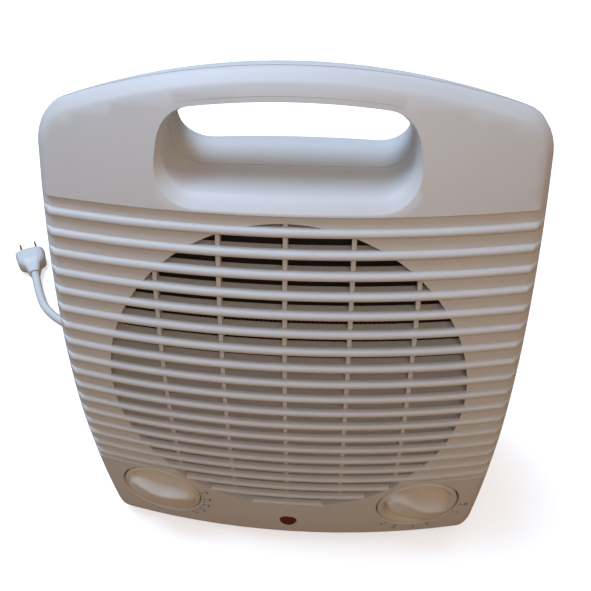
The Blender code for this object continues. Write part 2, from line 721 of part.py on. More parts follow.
def element(frame_material, element_material):
    """The PTC block in a heatproof frame, which closes the space behind the outlet's collar."""
    front = COLLAR_BACK + GAP
    z = OUTLET_HEIGHT
    radius = OUTLET_RADIUS + COLLAR_WALL
    half_w, half_h = ELEMENT_WIDTH / 2 + GAP, ELEMENT_HEIGHT / 2 + GAP
    frame = disc("element_frame", radius, front, front + FRAME_PLATE, 0, z, frame_material, RING_STEPS)
    rim_w, rim_h = half_w + FRAME_BORDER, half_h + FRAME_BORDER
    back = front + FRAME_PLATE + ELEMENT_DEPTH
    rim = box("rim", (-rim_w, front + FRAME_PLATE / 2, z - rim_h), (rim_w, back, z + rim_h))
    window = box("window", (-half_w, front - 0.01, z - half_h), (half_w, back + 0.01, z + half_h))
    boolean(frame, "UNION", rim)
    boolean(frame, "DIFFERENCE", window)
    first = front + GAP
    made = box(
        "ptc_element",
        (-ELEMENT_WIDTH / 2, first, z - ELEMENT_HEIGHT / 2),
        (ELEMENT_WIDTH / 2, first + ELEMENT_DEPTH, z + ELEMENT_HEIGHT / 2),
        element_material,
    )
    pitch = ELEMENT_HEIGHT / ELEMENT_RODS
    for row in range(ELEMENT_RODS):
        level = z - ELEMENT_HEIGHT / 2 + pitch * (row + 0.5)
        groove = box(
            "groove",
            (-ELEMENT_WIDTH / 2 + ELEMENT_BAR_END, first - 0.01, level - ELEMENT_GROOVE / 2),
            (ELEMENT_WIDTH / 2 - ELEMENT_BAR_END, first + ELEMENT_DEPTH + 0.01, level + ELEMENT_GROOVE / 2),
        )
        boolean(made, "DIFFERENCE", groove)


def duct(material):
    """A short duct behind the element frame that ends in the fan's shroud plate."""
    front = COLLAR_BACK + FRAME_PLATE + 2 * GAP
    back = FAN_FRONT + FAN_DEPTH
    outer = OUTLET_RADIUS + COLLAR_WALL
    profile = [
        (outer - DUCT_WALL, 0),
        (outer, 0),
        (outer, back - front),
        (SHROUD_BORE, back - front),
        (SHROUD_BORE, back - front - SHROUD_PLATE),
        (outer - DUCT_WALL, back - front - SHROUD_PLATE),
    ]
    turned("fan_duct", list(reversed(profile)), material, RING_STEPS, along_y(0, front, OUTLET_HEIGHT))


def fan(material):
    """Twisted blades round a hub, with a bore that grips the motor shaft."""
    made = disc("impeller", FAN_HUB_RADIUS, FAN_FRONT, FAN_FRONT + FAN_DEPTH, 0, OUTLET_HEIGHT, material, 24)
    root = FAN_HUB_RADIUS - BLADE_ROOT_SINK
    blades = []
    for index in range(FAN_BLADES):
        shape = bmesh.new()
        rings = []
        for step in range(BLADE_SECTIONS + 1):
            share = step / BLADE_SECTIONS
            radius = root + (FAN_RADIUS - root) * share
            widening = (BLADE_TIP_CHORD - BLADE_ROOT_CHORD) * math.sin(math.pi / 2 * share)
            half_chord = (BLADE_ROOT_CHORD + widening) / 2
            pitch_angle = math.radians(BLADE_ROOT_PITCH + (BLADE_TIP_PITCH - BLADE_ROOT_PITCH) * share)
            run = Vector((math.cos(pitch_angle), math.sin(pitch_angle)))
            across = Vector((-run.y, run.x)) * BLADE_SKIN / 2
            limit = (FAN_DEPTH / 2 - BLADE_SKIN) / max(run.y, 0.1)
            reach = min(half_chord, limit)
            corners = (-run * reach - across, run * reach - across, run * reach + across, -run * reach + across)
            ring = []
            for tangential, axial in corners:
                spread = tangential / radius * BLADE_SWEEP
                ring.append(shape.verts.new((radius * math.sin(spread), FAN_FRONT + FAN_DEPTH / 2 + axial,
                                             radius * math.cos(spread))))
            rings.append(ring)
        for before, after in zip(rings, rings[1:]):
            for i in range(4):
                j = (i + 1) % 4
                shape.faces.new((before[i], before[j], after[j], after[i]))
        shape.faces.new(rings[0])
        shape.faces.new(reversed(rings[-1]))
        turn = Matrix.Rotation(2 * math.pi * index / FAN_BLADES, 4, "Y")
        bmesh.ops.transform(shape, matrix=Matrix.Translation((0, 0, OUTLET_HEIGHT)) @ turn, verts=shape.verts)
        blades.append(object_from("fan_blade", shape))
    boolean(made, "UNION", *blades)
    bore_front, bore_back = FAN_FRONT + SHAFT_SEAT - GAP, FAN_FRONT + FAN_DEPTH + CUT_MARGIN
    bore = disc("bore", SHAFT_RADIUS + GAP, bore_front, bore_back, 0, OUTLET_HEIGHT, steps=SMALL_STEPS)
    boolean(made, "DIFFERENCE", bore)
    made.data.materials.clear()
    made.data.materials.append(material)


def motor(steel, copper, bronze, aluminium):
    """A shaded-pole motor: laminated core, coil, rotor on a shaft, two brackets with bushes."""
    z = OUTLET_HEIGHT
    half = CORE_SIDE / 2
    core_back = CORE_FRONT + CORE_DEPTH
    core = box("motor_core", (-half, CORE_FRONT, z - half), (half, core_back, z + half * CORE_CROWN), steel)
    boolean(core, "DIFFERENCE", disc("bore", ROTOR_RADIUS + 2 * GAP, CORE_FRONT - 0.01, core_back + 0.01, 0, z))
    coil_low = z - half - COIL_DROP
    box(
        "motor_coil",
        (-COIL_WIDTH / 2, CORE_FRONT - COIL_OVERHANG, coil_low),
        (COIL_WIDTH / 2, core_back + COIL_OVERHANG, z - half - GAP),
        copper,
    )
    front_plate = CORE_FRONT - BRACKET_STANDOFF
    back_plate = core_back + BRACKET_STANDOFF
    shaft_back = back_plate + BUSH_LENGTH / 2
    disc("motor_shaft", SHAFT_RADIUS, FAN_FRONT + SHAFT_SEAT, shaft_back, 0, z, steel, SMALL_STEPS)
    disc("motor_rotor", ROTOR_RADIUS, CORE_FRONT, core_back, 0, z, steel, 24, SHAFT_RADIUS + GAP)
    clear = SHAFT_RADIUS + SHAFT_CLEARANCE
    for name, plate in (("front", front_plate), ("rear", back_plate)):
        bracket = box(f"{name}_bracket", (-half, plate - BRACKET_PLATE / 2, z - BRACKET_WIDTH / 2),
                      (half, plate + BRACKET_PLATE / 2, z + BRACKET_WIDTH / 2), aluminium)
        boolean(bracket, "DIFFERENCE", disc("seat", BUSH_RADIUS + GAP, plate - 0.01, plate + 0.01, 0, z,
                                            steps=SMALL_STEPS))
        disc(f"{name}_bush", BUSH_RADIUS, plate - BUSH_LENGTH / 2, plate + BUSH_LENGTH / 2, 0, z, bronze,
             SMALL_STEPS, clear)
    for side, name in ((-1, "left"), (1, "right")):
        x = side * (half - 2 * POST_RADIUS)
        post_front, post_back = FAN_FRONT + FAN_DEPTH + GAP, front_plate - BRACKET_PLATE / 2 - GAP
        disc(f"{name}_motor_post", POST_RADIUS, post_front, post_back, x, z, steel, SMALL_STEPS)


def screws(material):
    seat = PARTING_Y + GAP / 2 + BOSS_FLOOR + GAP
    names = ("low_left", "low_right", "high_left", "high_right")
    for name, (x, z) in zip(names, screw_places()):
        head, shank = SCREW_HEAD_RADIUS, SCREW_SHANK_RADIUS
        tip = BOSS_FLOOR + SCREW_LENGTH - SCREW_TIP_CLEARANCE
        recess_floor = SCREW_HEAD_HEIGHT - SCREW_RECESS_DEPTH
        profile = [
            (0, recess_floor),
            (SCREW_RECESS_RADII[0], recess_floor),
            (SCREW_RECESS_RADII[1], SCREW_HEAD_HEIGHT),
            (head * 0.8, SCREW_HEAD_HEIGHT),
            (head, SCREW_HEAD_HEIGHT * 0.5),
            (head, 0),
            (shank, 0),
            (shank, -tip + shank),
            (0, -tip),
        ]
        turned(f"case_screw_{name}", profile, material, SMALL_STEPS, along_y(x, seat, z))


def feet(material):
    names = ("front_left", "front_right", "rear_left", "rear_right")
    rows = (FRONT_Y + FOOT_FROM_FRONT, BACK_Y - FOOT_FROM_BACK)
    places = [(side * (WIDTH / 2 - FOOT_SIDE_MARGIN), y) for y in rows for side in (-1, 1)]
    top = FOOT_HEIGHT - GAP
    profile = [(0, top), (FOOT_RADIUS, top), (FOOT_RADIUS, FOOT_CHAMFER), (FOOT_RADIUS - FOOT_CHAMFER, 0), (0, 0)]
    for name, (x, y) in zip(names, places):
        turned(f"foot_{name}", profile, material, 20, Matrix.Translation((x, y, 0)))


def safety_parts(white, steel, black):
    """Cut-out and fuse on the element frame, and a tip-over switch on the floor of the body."""
    frame_back = COLLAR_BACK + GAP + FRAME_PLATE + GAP
    high = OUTLET_HEIGHT + ELEMENT_HEIGHT / 2 + FRAME_BORDER + CUTOUT_RISE
    disc("thermal_cutout", CUTOUT_RADIUS, frame_back, frame_back + CUTOUT_LENGTH, CUTOUT_X, high, steel, 20)
    fuse_length, fuse_depth, fuse_height = FUSE_SIZE
    fuse_front = frame_back + FUSE_STANDOFF
    low = (FUSE_LEFT, fuse_front, high - fuse_height / 2)
    box("thermal_fuse", low, (FUSE_LEFT + fuse_length, fuse_front + fuse_depth, high + fuse_height / 2), white)
    floor = FOOT_HEIGHT + WALL + GAP
    switch_width, switch_depth, switch_height = TIP_SWITCH_SIZE
    switch_low = (-switch_width / 2, TIP_SWITCH_FRONT, floor)
    switch_high = (switch_width / 2, TIP_SWITCH_FRONT + switch_depth, floor + switch_height)
    box("tip_over_switch", switch_low, switch_high, black)
    block_back = RELIEF_FRONT - CORD_INNER_LENGTH - TERMINAL_CLEARANCE
    block_low = (CORD_EXIT_SIDE - TERMINAL_WIDTH / 2, block_back - TERMINAL_DEPTH, floor)
    block_high = (CORD_EXIT_SIDE + TERMINAL_WIDTH / 2, block_back, floor + TERMINAL_HEIGHT)
    box("terminal_block", block_low, block_high, white)
    clamp_back = RELIEF_FRONT - CLAMP_CLEARANCE
    clamp_low = (CORD_EXIT_SIDE - CLAMP_WIDTH / 2, clamp_back - CLAMP_DEPTH, floor)
    clamp_top = CORD_EXIT_HEIGHT + CORD_DIAMETER / 2 + WALL
    clamp = box("cord_clamp", clamp_low, (CORD_EXIT_SIDE + CLAMP_WIDTH / 2, clamp_back, clamp_top), white)
    hole_ends = (clamp_low[1] - CUT_MARGIN, clamp_back + CUT_MARGIN)
    hole = disc("hole", CORD_DIAMETER / 2 + GAP, *hole_ends, CORD_EXIT_SIDE, CORD_EXIT_HEIGHT, steps=SMALL_STEPS)
    boolean(clamp, "DIFFERENCE", hole)


def tube(name, points, diameter, material, resolution=3):
    """A round cable along a smooth curve through the points, as one closed body."""
    line = smooth_line([Vector(point) for point in points], diameter * 2.2)
    data = bpy.data.curves.new(name, "CURVE")
    data.dimensions = "3D"
    data.bevel_depth = diameter / 2
    data.bevel_resolution = resolution
    data.use_fill_caps = True
    data.twist_mode = "MINIMUM"
    spline = data.splines.new("POLY")
    spline.points.add(len(line) - 1)
    for point, place in zip(spline.points, line):
        point.co = (*place, 1)
    data.materials.append(material)
    made = bpy.data.objects.new(name, data)
    bpy.context.scene.collection.objects.link(made)
    return made


def smooth_line(points, spacing):
    """Points at even spacing on a smooth curve through the given ones."""
    ends = [2 * points[0] - points[1], *points, 2 * points[-1] - points[-2]]
    fine = []
    for before, start, end, after in zip(ends, ends[1:], ends[2:], ends[3:]):
        for step in range(16):
            t = step / 16
            fine.append(
                0.5 * (2 * start + (end - before) * t + (2 * before - 5 * start + 4 * end - after) * t**2
                       + (3 * start - before - 3 * end + after) * t**3)
            )
    fine.append(points[-1])
    travelled = [0.0]
    for start, end in zip(fine, fine[1:]):
        travelled.append(travelled[-1] + (end - start).length)
    count = max(2, round(travelled[-1] / spacing))
    line, at = [], 0
    for step in range(count + 1):
        target = travelled[-1] * step / count
        while at < len(fine) - 2 and travelled[at + 1] < target:
            at += 1
        share = (target - travelled[at]) / max(travelled[at + 1] - travelled[at], 1e-9)
        line.append(fine[at].lerp(fine[at + 1], min(max(share, 0), 1)))
    return line


LEAD_ROUTE = (
    (-0.0620, 0.0820, 0.0200),
    (-0.0620, 0.0880, 0.0200),
    (-0.0620, 0.0960, 0.0188),
    (-0.0619, 0.1060, 0.0158),
    (-0.0612, 0.1165, 0.0110),
    (-0.0590, 0.1280, 0.0064),
    (-0.0545, 0.1400, 0.0040),
    (-0.0470, 0.1510, 0.0034),
    (-0.0370, 0.1600, 0.0034),
    (-0.0240, 0.1655, 0.0034),
    (-0.0100, 0.1676, 0.0034),
)
TAIL_ROUTE = (
    (-0.0130, 0.0716, 0.0066),
    (-0.0300, 0.0722, 0.0045),
    (-0.0500, 0.0736, 0.0036),
    (-0.0750, 0.0760, 0.0034),
    (-0.1050, 0.0800, 0.0034),
    (-0.1350, 0.0860, 0.0034),
    (-0.1620, 0.0940, 0.0034),
    (-0.1860, 0.1030, 0.0034),
    (-0.2050, 0.1135, 0.0034),
    (-0.2185, 0.1250, 0.0038),
    (-0.2265, 0.1360, 0.0056),
    (-0.2320, 0.1455, 0.0078),
    (-0.2362, 0.1535, 0.0086),
    (-0.2410, 0.1618, 0.0086),
)


def mains_cord(cord_material, plug_material, brass):
    neck = RELIEF_NECK
    flange = neck + RELIEF_FLANGE
    outside = WALL + RELIEF_TAIL + RELIEF_STANDOFF
    end = LEAD_ROUTE[0][1] - 1.5 * GAP - RELIEF_FRONT
    profile = [
        (0, end),
        (CORD_DIAMETER / 2 + 0.0008, end),
        (neck, outside + 0.002),
        (flange, outside + 0.002),
        (flange, outside),
        (neck - GAP, outside),
        (neck - GAP, 0),
        (0, 0),
    ]
    turned("strain_relief", profile, plug_material, 20, along_y(CORD_EXIT_SIDE, RELIEF_FRONT, CORD_EXIT_HEIGHT))
    inner = [
        (CORD_EXIT_SIDE, RELIEF_FRONT - GAP - CORD_INNER_LENGTH * share, CORD_EXIT_HEIGHT)
        for share in (0, 0.5, 1)
    ]
    tube("cord_inner_end", inner, CORD_DIAMETER, cord_material)
    tube("cord_lead", LEAD_ROUTE, CORD_DIAMETER, cord_material)
    half = CORD_DIAMETER / 2 + 0.0002
    inner_radius, outer_radius = min(COIL_TURN_RADII) - half, max(COIL_TURN_RADII) + half
    low, high = 0.0002, COIL_HEIGHT
    chamfer = 0.002
    profile = [
        (inner_radius, high - chamfer),
        (inner_radius + chamfer, high),
        (outer_radius - chamfer, high),
        (outer_radius, high - chamfer),
        (outer_radius, low + chamfer),
        (outer_radius - chamfer, low),
        (inner_radius + chamfer, low),
        (inner_radius, low + chamfer),
    ]
    turned("cord_coil", profile, cord_material, 36, Matrix.Translation((*COIL_CENTRE, 0)))
    tube("cord_tail", TAIL_ROUTE, CORD_DIAMETER, cord_material)
    plug(plug_material, brass)


def plug(material, brass):
    """A two-blade plug at the cord's far end, lying on its side on the surface."""
    end = Vector(TAIL_ROUTE[-1])
    heading = (end - Vector(TAIL_ROUTE[-2])).normalized()
    heading.z = 0
    heading.normalize()
    across = Vector((-heading.y, heading.x, 0))
    frame = Matrix((across, Vector((0, 0, 1)), heading)).transposed().to_4x4()
    place = Matrix.Translation(end + heading * 1.5 * GAP) @ frame
    shape = bmesh.new()
    rings = []
    for distance, half_w, half_h in PLUG_SECTIONS:
        ring = []
        for step in range(PLUG_STEPS):
            angle = 2 * math.pi * step / PLUG_STEPS
            across_share, up_share = math.cos(angle), math.sin(angle)
            x = half_w * math.copysign(abs(across_share) ** PLUG_SQUARENESS, across_share)
            y = half_h * math.copysign(abs(up_share) ** PLUG_SQUARENESS, up_share)
            ring.append(shape.verts.new((x, y, distance)))
        rings.append(ring)
    for before, after in zip(rings, rings[1:]):
        for i in range(PLUG_STEPS):
            j = (i + 1) % PLUG_STEPS
            shape.faces.new((before[i], before[j], after[j], after[i]))
    shape.faces.new(rings[0])
    shape.faces.new(reversed(rings[-1]))
    bmesh.ops.transform(shape, matrix=place, verts=shape.verts)
    object_from("plug_body", shape, material)
    for side, name in ((-1, "left"), (1, "right")):
        x, near = side * PIN_SPACING / 2, PLUG_LENGTH + GAP
        blade = box(f"plug_blade_{name}", (x - PIN_THICKNESS / 2, -PIN_WIDTH / 2, near),
                    (x + PIN_THICKNESS / 2, PIN_WIDTH / 2, near + PIN_LENGTH), brass)
        blade.matrix_world = place


def build():
    clear_scene()
    white_abs = plastic("white_abs", (0.80, 0.79, 0.76), 0.45)
    knob_abs = plastic("knob_abs", (0.80, 0.79, 0.75), 0.40)
    black_nylon = plastic("black_nylon", (0.02, 0.02, 0.02), 0.5)
    heatproof = plastic("heatproof_resin", (0.05, 0.045, 0.04), 0.6)
    ceramic = plastic("ptc_ceramic", (0.25, 0.24, 0.23), 0.5, 0.6)
    steel = plastic("zinc_steel", (0.55, 0.55, 0.56), 0.35, 1.0)
    aluminium = plastic("aluminium", (0.70, 0.70, 0.71), 0.4, 1.0)
    copper = plastic("copper_winding", (0.55, 0.22, 0.10), 0.4, 1.0)
    bronze = plastic("sintered_bronze", (0.45, 0.30, 0.15), 0.5, 1.0)
    rubber = plastic("rubber", (0.06, 0.06, 0.06), 0.8)
    red_lens = plastic("red_lens", (0.30, 0.01, 0.01), 0.2)
    porcelain = plastic("porcelain", (0.80, 0.80, 0.78), 0.3)
    cord_pvc = plastic("cord_pvc", (0.75, 0.75, 0.72), 0.5)
    brass = plastic("brass", (0.70, 0.52, 0.25), 0.3, 1.0)

    front_shell(white_abs)
    rear_shell(white_abs)
    knob("thermostat_knob", -1, THERMOSTAT_TURN, knob_abs)
    knob("mode_knob", 1, MODE_TURN, knob_abs)
    spindle("thermostat_spindle", -1, steel)
    spindle("mode_spindle", 1, steel)
    control_body("thermostat_body", -1, CONTROL_SIDE * 0.8, CONTROL_SIDE, steel)
    control_body("rotary_switch_body", 1, CONTROL_SIDE, CONTROL_SIDE, black_nylon)
    pilot_light(red_lens, porcelain)
    element(heatproof, ceramic)
    duct(black_nylon)
    fan(black_nylon)
    motor(steel, copper, bronze, aluminium)
    safety_parts(porcelain, steel, black_nylon)
    screws(steel)
    feet(rubber)
    mains_cord(cord_pvc, cord_pvc, brass)


build()
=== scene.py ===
# Compact ceramic space heater: two bowed ABS shells round a PTC element and a fan, with a carry
# slot through the top. Sections follow the order in which the heater is put together.
import math

import bmesh
import bpy
from mathutils import Matrix, Vector
from mathutils.geometry import delaunay_2d_cdt
from mathutils.kdtree import KDTree


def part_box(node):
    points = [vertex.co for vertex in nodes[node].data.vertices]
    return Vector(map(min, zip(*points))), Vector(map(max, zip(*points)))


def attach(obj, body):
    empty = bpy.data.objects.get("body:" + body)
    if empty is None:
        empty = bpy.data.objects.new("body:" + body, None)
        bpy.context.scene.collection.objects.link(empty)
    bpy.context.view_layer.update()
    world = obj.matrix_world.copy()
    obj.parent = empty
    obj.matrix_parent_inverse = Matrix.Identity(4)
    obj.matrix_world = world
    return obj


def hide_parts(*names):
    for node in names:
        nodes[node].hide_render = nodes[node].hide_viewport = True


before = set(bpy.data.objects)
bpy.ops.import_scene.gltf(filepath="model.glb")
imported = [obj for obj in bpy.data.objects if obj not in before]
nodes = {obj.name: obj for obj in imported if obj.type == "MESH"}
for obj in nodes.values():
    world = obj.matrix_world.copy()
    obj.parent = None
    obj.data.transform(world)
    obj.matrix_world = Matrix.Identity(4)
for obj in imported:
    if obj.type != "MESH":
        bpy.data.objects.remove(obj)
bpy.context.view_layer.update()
scene = bpy.context.scene
scene.view_settings.view_transform = "Standard"

# ---------------------------------------------------------------- Viewpoint and stage
# The heater stands on a plain pale sheet and is seen from close by, well above its top.
EYE = Vector((0.0197, -0.2320, 0.3352))
LOOK_DOWN, LOOK_LEFT, LEAN = 0.7099, 0.0811, 0.0132
SENSOR = 36.0
FOCAL_IN_WIDTHS = 600.5 / 591
STAGE_HALF = 6.0
PAPER_GLOW, BOUNCE_COLOUR = 0.55, "#8C6A48"
GLOW_FROM, GLOW_TO = 0.3, 0.9


def linear(code):
    """Turns an sRGB hex colour into linear light with full alpha."""
    parts = [int(code[i : i + 2], 16) / 255 for i in (1, 3, 5)]
    return (*[p / 12.92 if p <= 0.04045 else ((p + 0.055) / 1.055) ** 2.4 for p in parts], 1.0)


def add(tree, kind, inputs=None, **settings):
    """Adds one node; an input that is a socket becomes a link, any other becomes a value."""
    node = tree.nodes.new(kind)
    for name, value in settings.items():
        setattr(node, name, value)
    for name, value in (inputs or {}).items():
        if isinstance(value, bpy.types.NodeSocket):
            tree.links.new(value, node.inputs[name])
        else:
            node.inputs[name].default_value = value
    return node


def new_material(name):
    """An empty material with its shader joined to the output."""
    made = bpy.data.materials.new(name)
    made.use_nodes = True
    tree = made.node_tree
    tree.nodes.clear()
    shader = add(tree, "ShaderNodeBsdfPrincipled")
    add(tree, "ShaderNodeOutputMaterial", {"Surface": shader.outputs["BSDF"]})
    return made, tree, shader


def mesh_object(name, shape, material=None, sharp=32):
    """Makes a smooth-shaded object of a bmesh, with its place in its vertices."""
    bmesh.ops.remove_doubles(shape, verts=shape.verts, dist=1e-6)
    bmesh.ops.recalc_face_normals(shape, faces=shape.faces)
    mesh = bpy.data.meshes.new(name)
    shape.to_mesh(mesh)
    shape.free()
    if material:
        mesh.materials.append(material)
    mesh.shade_smooth()
    mesh.set_sharp_from_angle(angle=math.radians(sharp))
    made = bpy.data.objects.new(name, mesh)
    scene.collection.objects.link(made)
    return made


camera_data = bpy.data.cameras.new("eye")
camera_data.sensor_width = SENSOR
camera_data.lens = SENSOR * FOCAL_IN_WIDTHS
camera_data.clip_start = 0.01
camera = bpy.data.objects.new("eye", camera_data)
scene.collection.objects.link(camera)
turn = Matrix.Rotation(LOOK_LEFT, 4, "Z") @ Matrix.Rotation(-LOOK_DOWN, 4, "X")
turn = turn @ Matrix.Rotation(LEAN, 4, "Y") @ Matrix.Rotation(math.pi / 2, 4, "X")
camera.matrix_world = Matrix.Translation(EYE) @ turn
scene.camera = camera

# Matt white paper, pale where it is looked at; what it throws back on the heater is a dim warm
# light, as from a room behind the viewer.
floor_material, tree, shader = new_material("pale_paper")
shader.inputs["Base Color"].default_value = linear("#F6F5F3")
shader.inputs["Roughness"].default_value = 0.8
shader.inputs["Emission Color"].default_value = linear("#FFFFFF")
# The sheet's own glow grows away from the heater, so that it runs into the white surround.
place = add(tree, "ShaderNodeTexCoord")
away = add(tree, "ShaderNodeVectorMath", {0: place.outputs["Object"]}, operation="LENGTH")
glow = add(
    tree,
    "ShaderNodeMapRange",
    {
        "Value": away.outputs["Value"],
        "From Min": GLOW_FROM,
        "From Max": GLOW_TO,
        "To Min": PAPER_GLOW,
        "To Max": 1.0,
    },
)
tree.links.new(glow.outputs["Result"], shader.inputs["Emission Strength"])
bounce = add(tree, "ShaderNodeBsdfDiffuse", {"Color": linear(BOUNCE_COLOUR)})
looked_at = add(tree, "ShaderNodeLightPath").outputs["Is Camera Ray"]
either = add(tree, "ShaderNodeMixShader", {0: looked_at, 1: bounce.outputs[0], 2: shader.outputs[0]})
sheet_end = next(node for node in tree.nodes if node.bl_idname == "ShaderNodeOutputMaterial")
tree.links.new(either.outputs[0], sheet_end.inputs["Surface"])
sheet = bmesh.new()
bmesh.ops.create_grid(sheet, x_segments=1, y_segments=1, size=STAGE_HALF)
floor = mesh_object("stage_floor", sheet, floor_material)

# ---------------------------------------------------------------- Mains cord
# White PVC flex, 6.5 mm round, from the relief at the back's foot into five and a half turns
# behind the body, then along the surface to the left, where its plug lies.
CORD_WIDTH = 0.0065
COIL_AT = (0.020, 0.118)
COIL_OUTER, COIL_INNER, COIL_STEP = 0.0498, 0.0294, 0.0068
LAYER_LOW, LAYER_HIGH = 0.0034, 0.0093
TURN_POINTS = 24
LEAD = (
    (-0.0620, 0.0820, 0.0200),
    (-0.0620, 0.0880, 0.0200),
    (-0.0620, 0.0960, 0.0188),
    (-0.0619, 0.1060, 0.0158),
    (-0.0612, 0.1165, 0.0110),
    (-0.0590, 0.1280, 0.0064),
    (-0.0545, 0.1400, 0.0040),
    (-0.0470, 0.1510, 0.0034),
    (-0.0370, 0.1600, 0.0034),
    (-0.0240, 0.1655, 0.0034),
    (-0.0100, 0.1676, 0.0034),
)
TAIL = (
    (-0.0130, 0.0716, 0.0066),
    (-0.0300, 0.0722, 0.0045),
    (-0.0500, 0.0736, 0.0036),
    (-0.0750, 0.0760, 0.0034),
    (-0.1050, 0.0800, 0.0034),
    (-0.1350, 0.0860, 0.0034),
    (-0.1620, 0.0940, 0.0034),
    (-0.1860, 0.1030, 0.0034),
    (-0.2050, 0.1135, 0.0034),
    (-0.2185, 0.1250, 0.0038),
    (-0.2265, 0.1360, 0.0056),
    (-0.2320, 0.1455, 0.0078),
    (-0.2362, 0.1535, 0.0086),
    (-0.2410, 0.1618, 0.0086),
)


def coil_points():
    """Clockwise turns: inwards on the surface, then outwards on top of them."""
    inward = (COIL_OUTER - COIL_INNER) / COIL_STEP
    turns = inward + 2.5
    count = round(turns * TURN_POINTS)
    points = []
    for step in range(count + 1):
        done = step / TURN_POINTS
        angle = math.pi / 2 - 2 * math.pi * done
        climb = min(max(done - inward, 0) / 0.5, 1)
        rise = climb * climb * (3 - 2 * climb)
        back_out = max(done - inward - 0.5, 0)
        radius = COIL_OUTER - COIL_STEP * min(done, inward)
        radius += COIL_STEP * (0.5 * rise + 0.95 * back_out)
        height = LAYER_LOW + (LAYER_HIGH - LAYER_LOW) * rise
        x, y = COIL_AT[0] + radius * math.cos(angle), COIL_AT[1] + radius * math.sin(angle)
        points.append((x, y, height))
    return points


def smooth_through(points, steps=6):
    """Points on a Catmull-Rom curve through the given ones."""
    given = [Vector(point) for point in points]
    ends = [2 * given[0] - given[1], *given, 2 * given[-1] - given[-2]]
    line = []
    for before, start, end, after in zip(ends, ends[1:], ends[2:], ends[3:]):
        for step in range(steps):
            t = step / steps
            line.append(
                0.5
                * (
                    2 * start
                    + (end - before) * t
                    + (2 * before - 5 * start + 4 * end - after) * t**2
                    + (3 * start - before - 3 * end + after) * t**3
                )
            )
    line.append(given[-1])
    return line


def clouded(tree, shader, scale, detail, pale, deep):
    """Lets a finish drift between two tones in soft patches, and gives back the patches."""
    place = add(tree, "ShaderNodeTexCoord")
    noise = {"Vector": place.outputs["Object"], "Scale": scale, "Detail": detail}
    patches = add(tree, "ShaderNodeTexNoise", noise).outputs["Fac"]
    tint = add(tree, "ShaderNodeMix", {0: patches, 6: linear(pale), 7: linear(deep)}, data_type="RGBA")
    tree.links.new(tint.outputs[2], shader.inputs["Base Color"])
    return patches


cord_material, tree, shader = new_material("flexible_pvc")
# Soft PVC: an even satin sheen with faint smudges from handling.
clouded(tree, shader, 45.0, 4.0, "#E6E5DF", "#D3D2CA")
shader.inputs["Roughness"].default_value = 0.42

route = smooth_through([*LEAD, *coil_points(), *TAIL])
cord_curve = bpy.data.curves.new("power_cord", "CURVE")
cord_curve.dimensions = "3D"
cord_curve.bevel_depth = CORD_WIDTH / 2
cord_curve.bevel_resolution = 4
cord_curve.use_fill_caps = True
spline = cord_curve.splines.new("POLY")
spline.points.add(len(route) - 1)
for point, place_at in zip(spline.points, route):
    point.co = (*place_at, 1)
cord_curve.materials.append(cord_material)
power_cord = bpy.data.objects.new("power_cord", cord_curve)
scene.collection.objects.link(power_cord)
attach(power_cord, "root")
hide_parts("cord_lead", "cord_coil", "cord_tail")

# ---------------------------------------------------------------- Front shell
# Off-white ABS, injection moulded 2.5 mm thick and bowed both ways: a smooth panel with the carry
# slot, a ribbed field set 1.8 mm lower round the outlet, and a smooth foot panel with the two dial
# wells. It closes on the rear shell along an upright parting line.
WALL, SKIN_SPARE = 0.0025, 0.0003
FRONT_LOW, FRONT_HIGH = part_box("front_shell")
FRONT_Y = FRONT_LOW.y
HALF_WIDTH = (FRONT_HIGH.x - FRONT_LOW.x) / 2
FOOT, CROWN = FRONT_LOW.z, FRONT_HIGH.z
PARTING_Y = -0.004
PARTING_GAP = 0.00025
ARCH_RADIUS, TOP_CORNER, FOOT_CORNER = 0.310, 0.017, 0.0085
ARCH_CENTRE = CROWN - ARCH_RADIUS
SLOT_HALF, SLOT_HEIGHT, SLOT_CORNER, HANDLE_RISE = 0.050, 0.0313, 0.013, 0.011
SLOT_FOOT = CROWN - HANDLE_RISE - SLOT_HEIGHT
BOW_ACROSS, BOW_LOWER, PEAK_HEIGHT, HANDLE_SET = 0.473, 0.568, 0.079, 0.0064
BOW_UPPER = (CROWN - PEAK_HEIGHT) ** 2 / (2 * (PARTING_Y - FRONT_Y - HANDLE_SET))
EDGE_ROUND, LIP_ROUND, WELL_ROUND = 0.0040, 0.0046, 0.0007
FIELD_TOP, FIELD_FOOT, FIELD_SET, FIELD_STEP = 0.206, 0.063, 0.0018, 0.00025
OUTLET_RADIUS, OUTLET_Z = 0.0814, 0.1211
COLLAR_BACK = -0.0283
DIAL_X, DIAL_Z, WELL_RADIUS, WELL_DEPTH = 0.0695, 0.0398, 0.0221, 0.0085
LENS_RADIUS, LENS_Z, LENS_GAP, LENS_EDGE, LENS_HOLE_DEEP = 0.0045, 0.0229, 0.0002, 0.0004, 0.004
ROUND_STEPS, CORNER_STEPS, PAVE = 6, 7, 0.0045
# Edges are part bevel, part round: the share that is round. The slot's lip is (out from the slot,
# back from the face), in lips, as wide as each share says at its foot and elsewhere.
FOLD_CURVE = 0.3
LIP_SLOPE = ((0, 1.06), (0.015, 0.97), (0.5, 0.46), (0.97, 0.02), (1, 0))
SILL_SHARE, LIP_SHARE, SILL_FADE = 0.95, 0.3, 0.6


def front_face(x, z):
    """Y of the front's smooth skin."""
    rise = z - PEAK_HEIGHT
    bow = BOW_UPPER if rise > 0 else BOW_LOWER
    return FRONT_Y + BOW_ACROSS - math.sqrt(BOW_ACROSS**2 - x**2) + rise**2 / (2 * bow)


def arc(centre, radius, start, end, steps):
    """Points on an arc, ends included; angles go from +X towards +Z."""
    angles = [start + (end - start) * step / steps for step in range(steps + 1)]
    return [(centre[0] + radius * math.cos(a), centre[1] + radius * math.sin(a)) for a in angles]


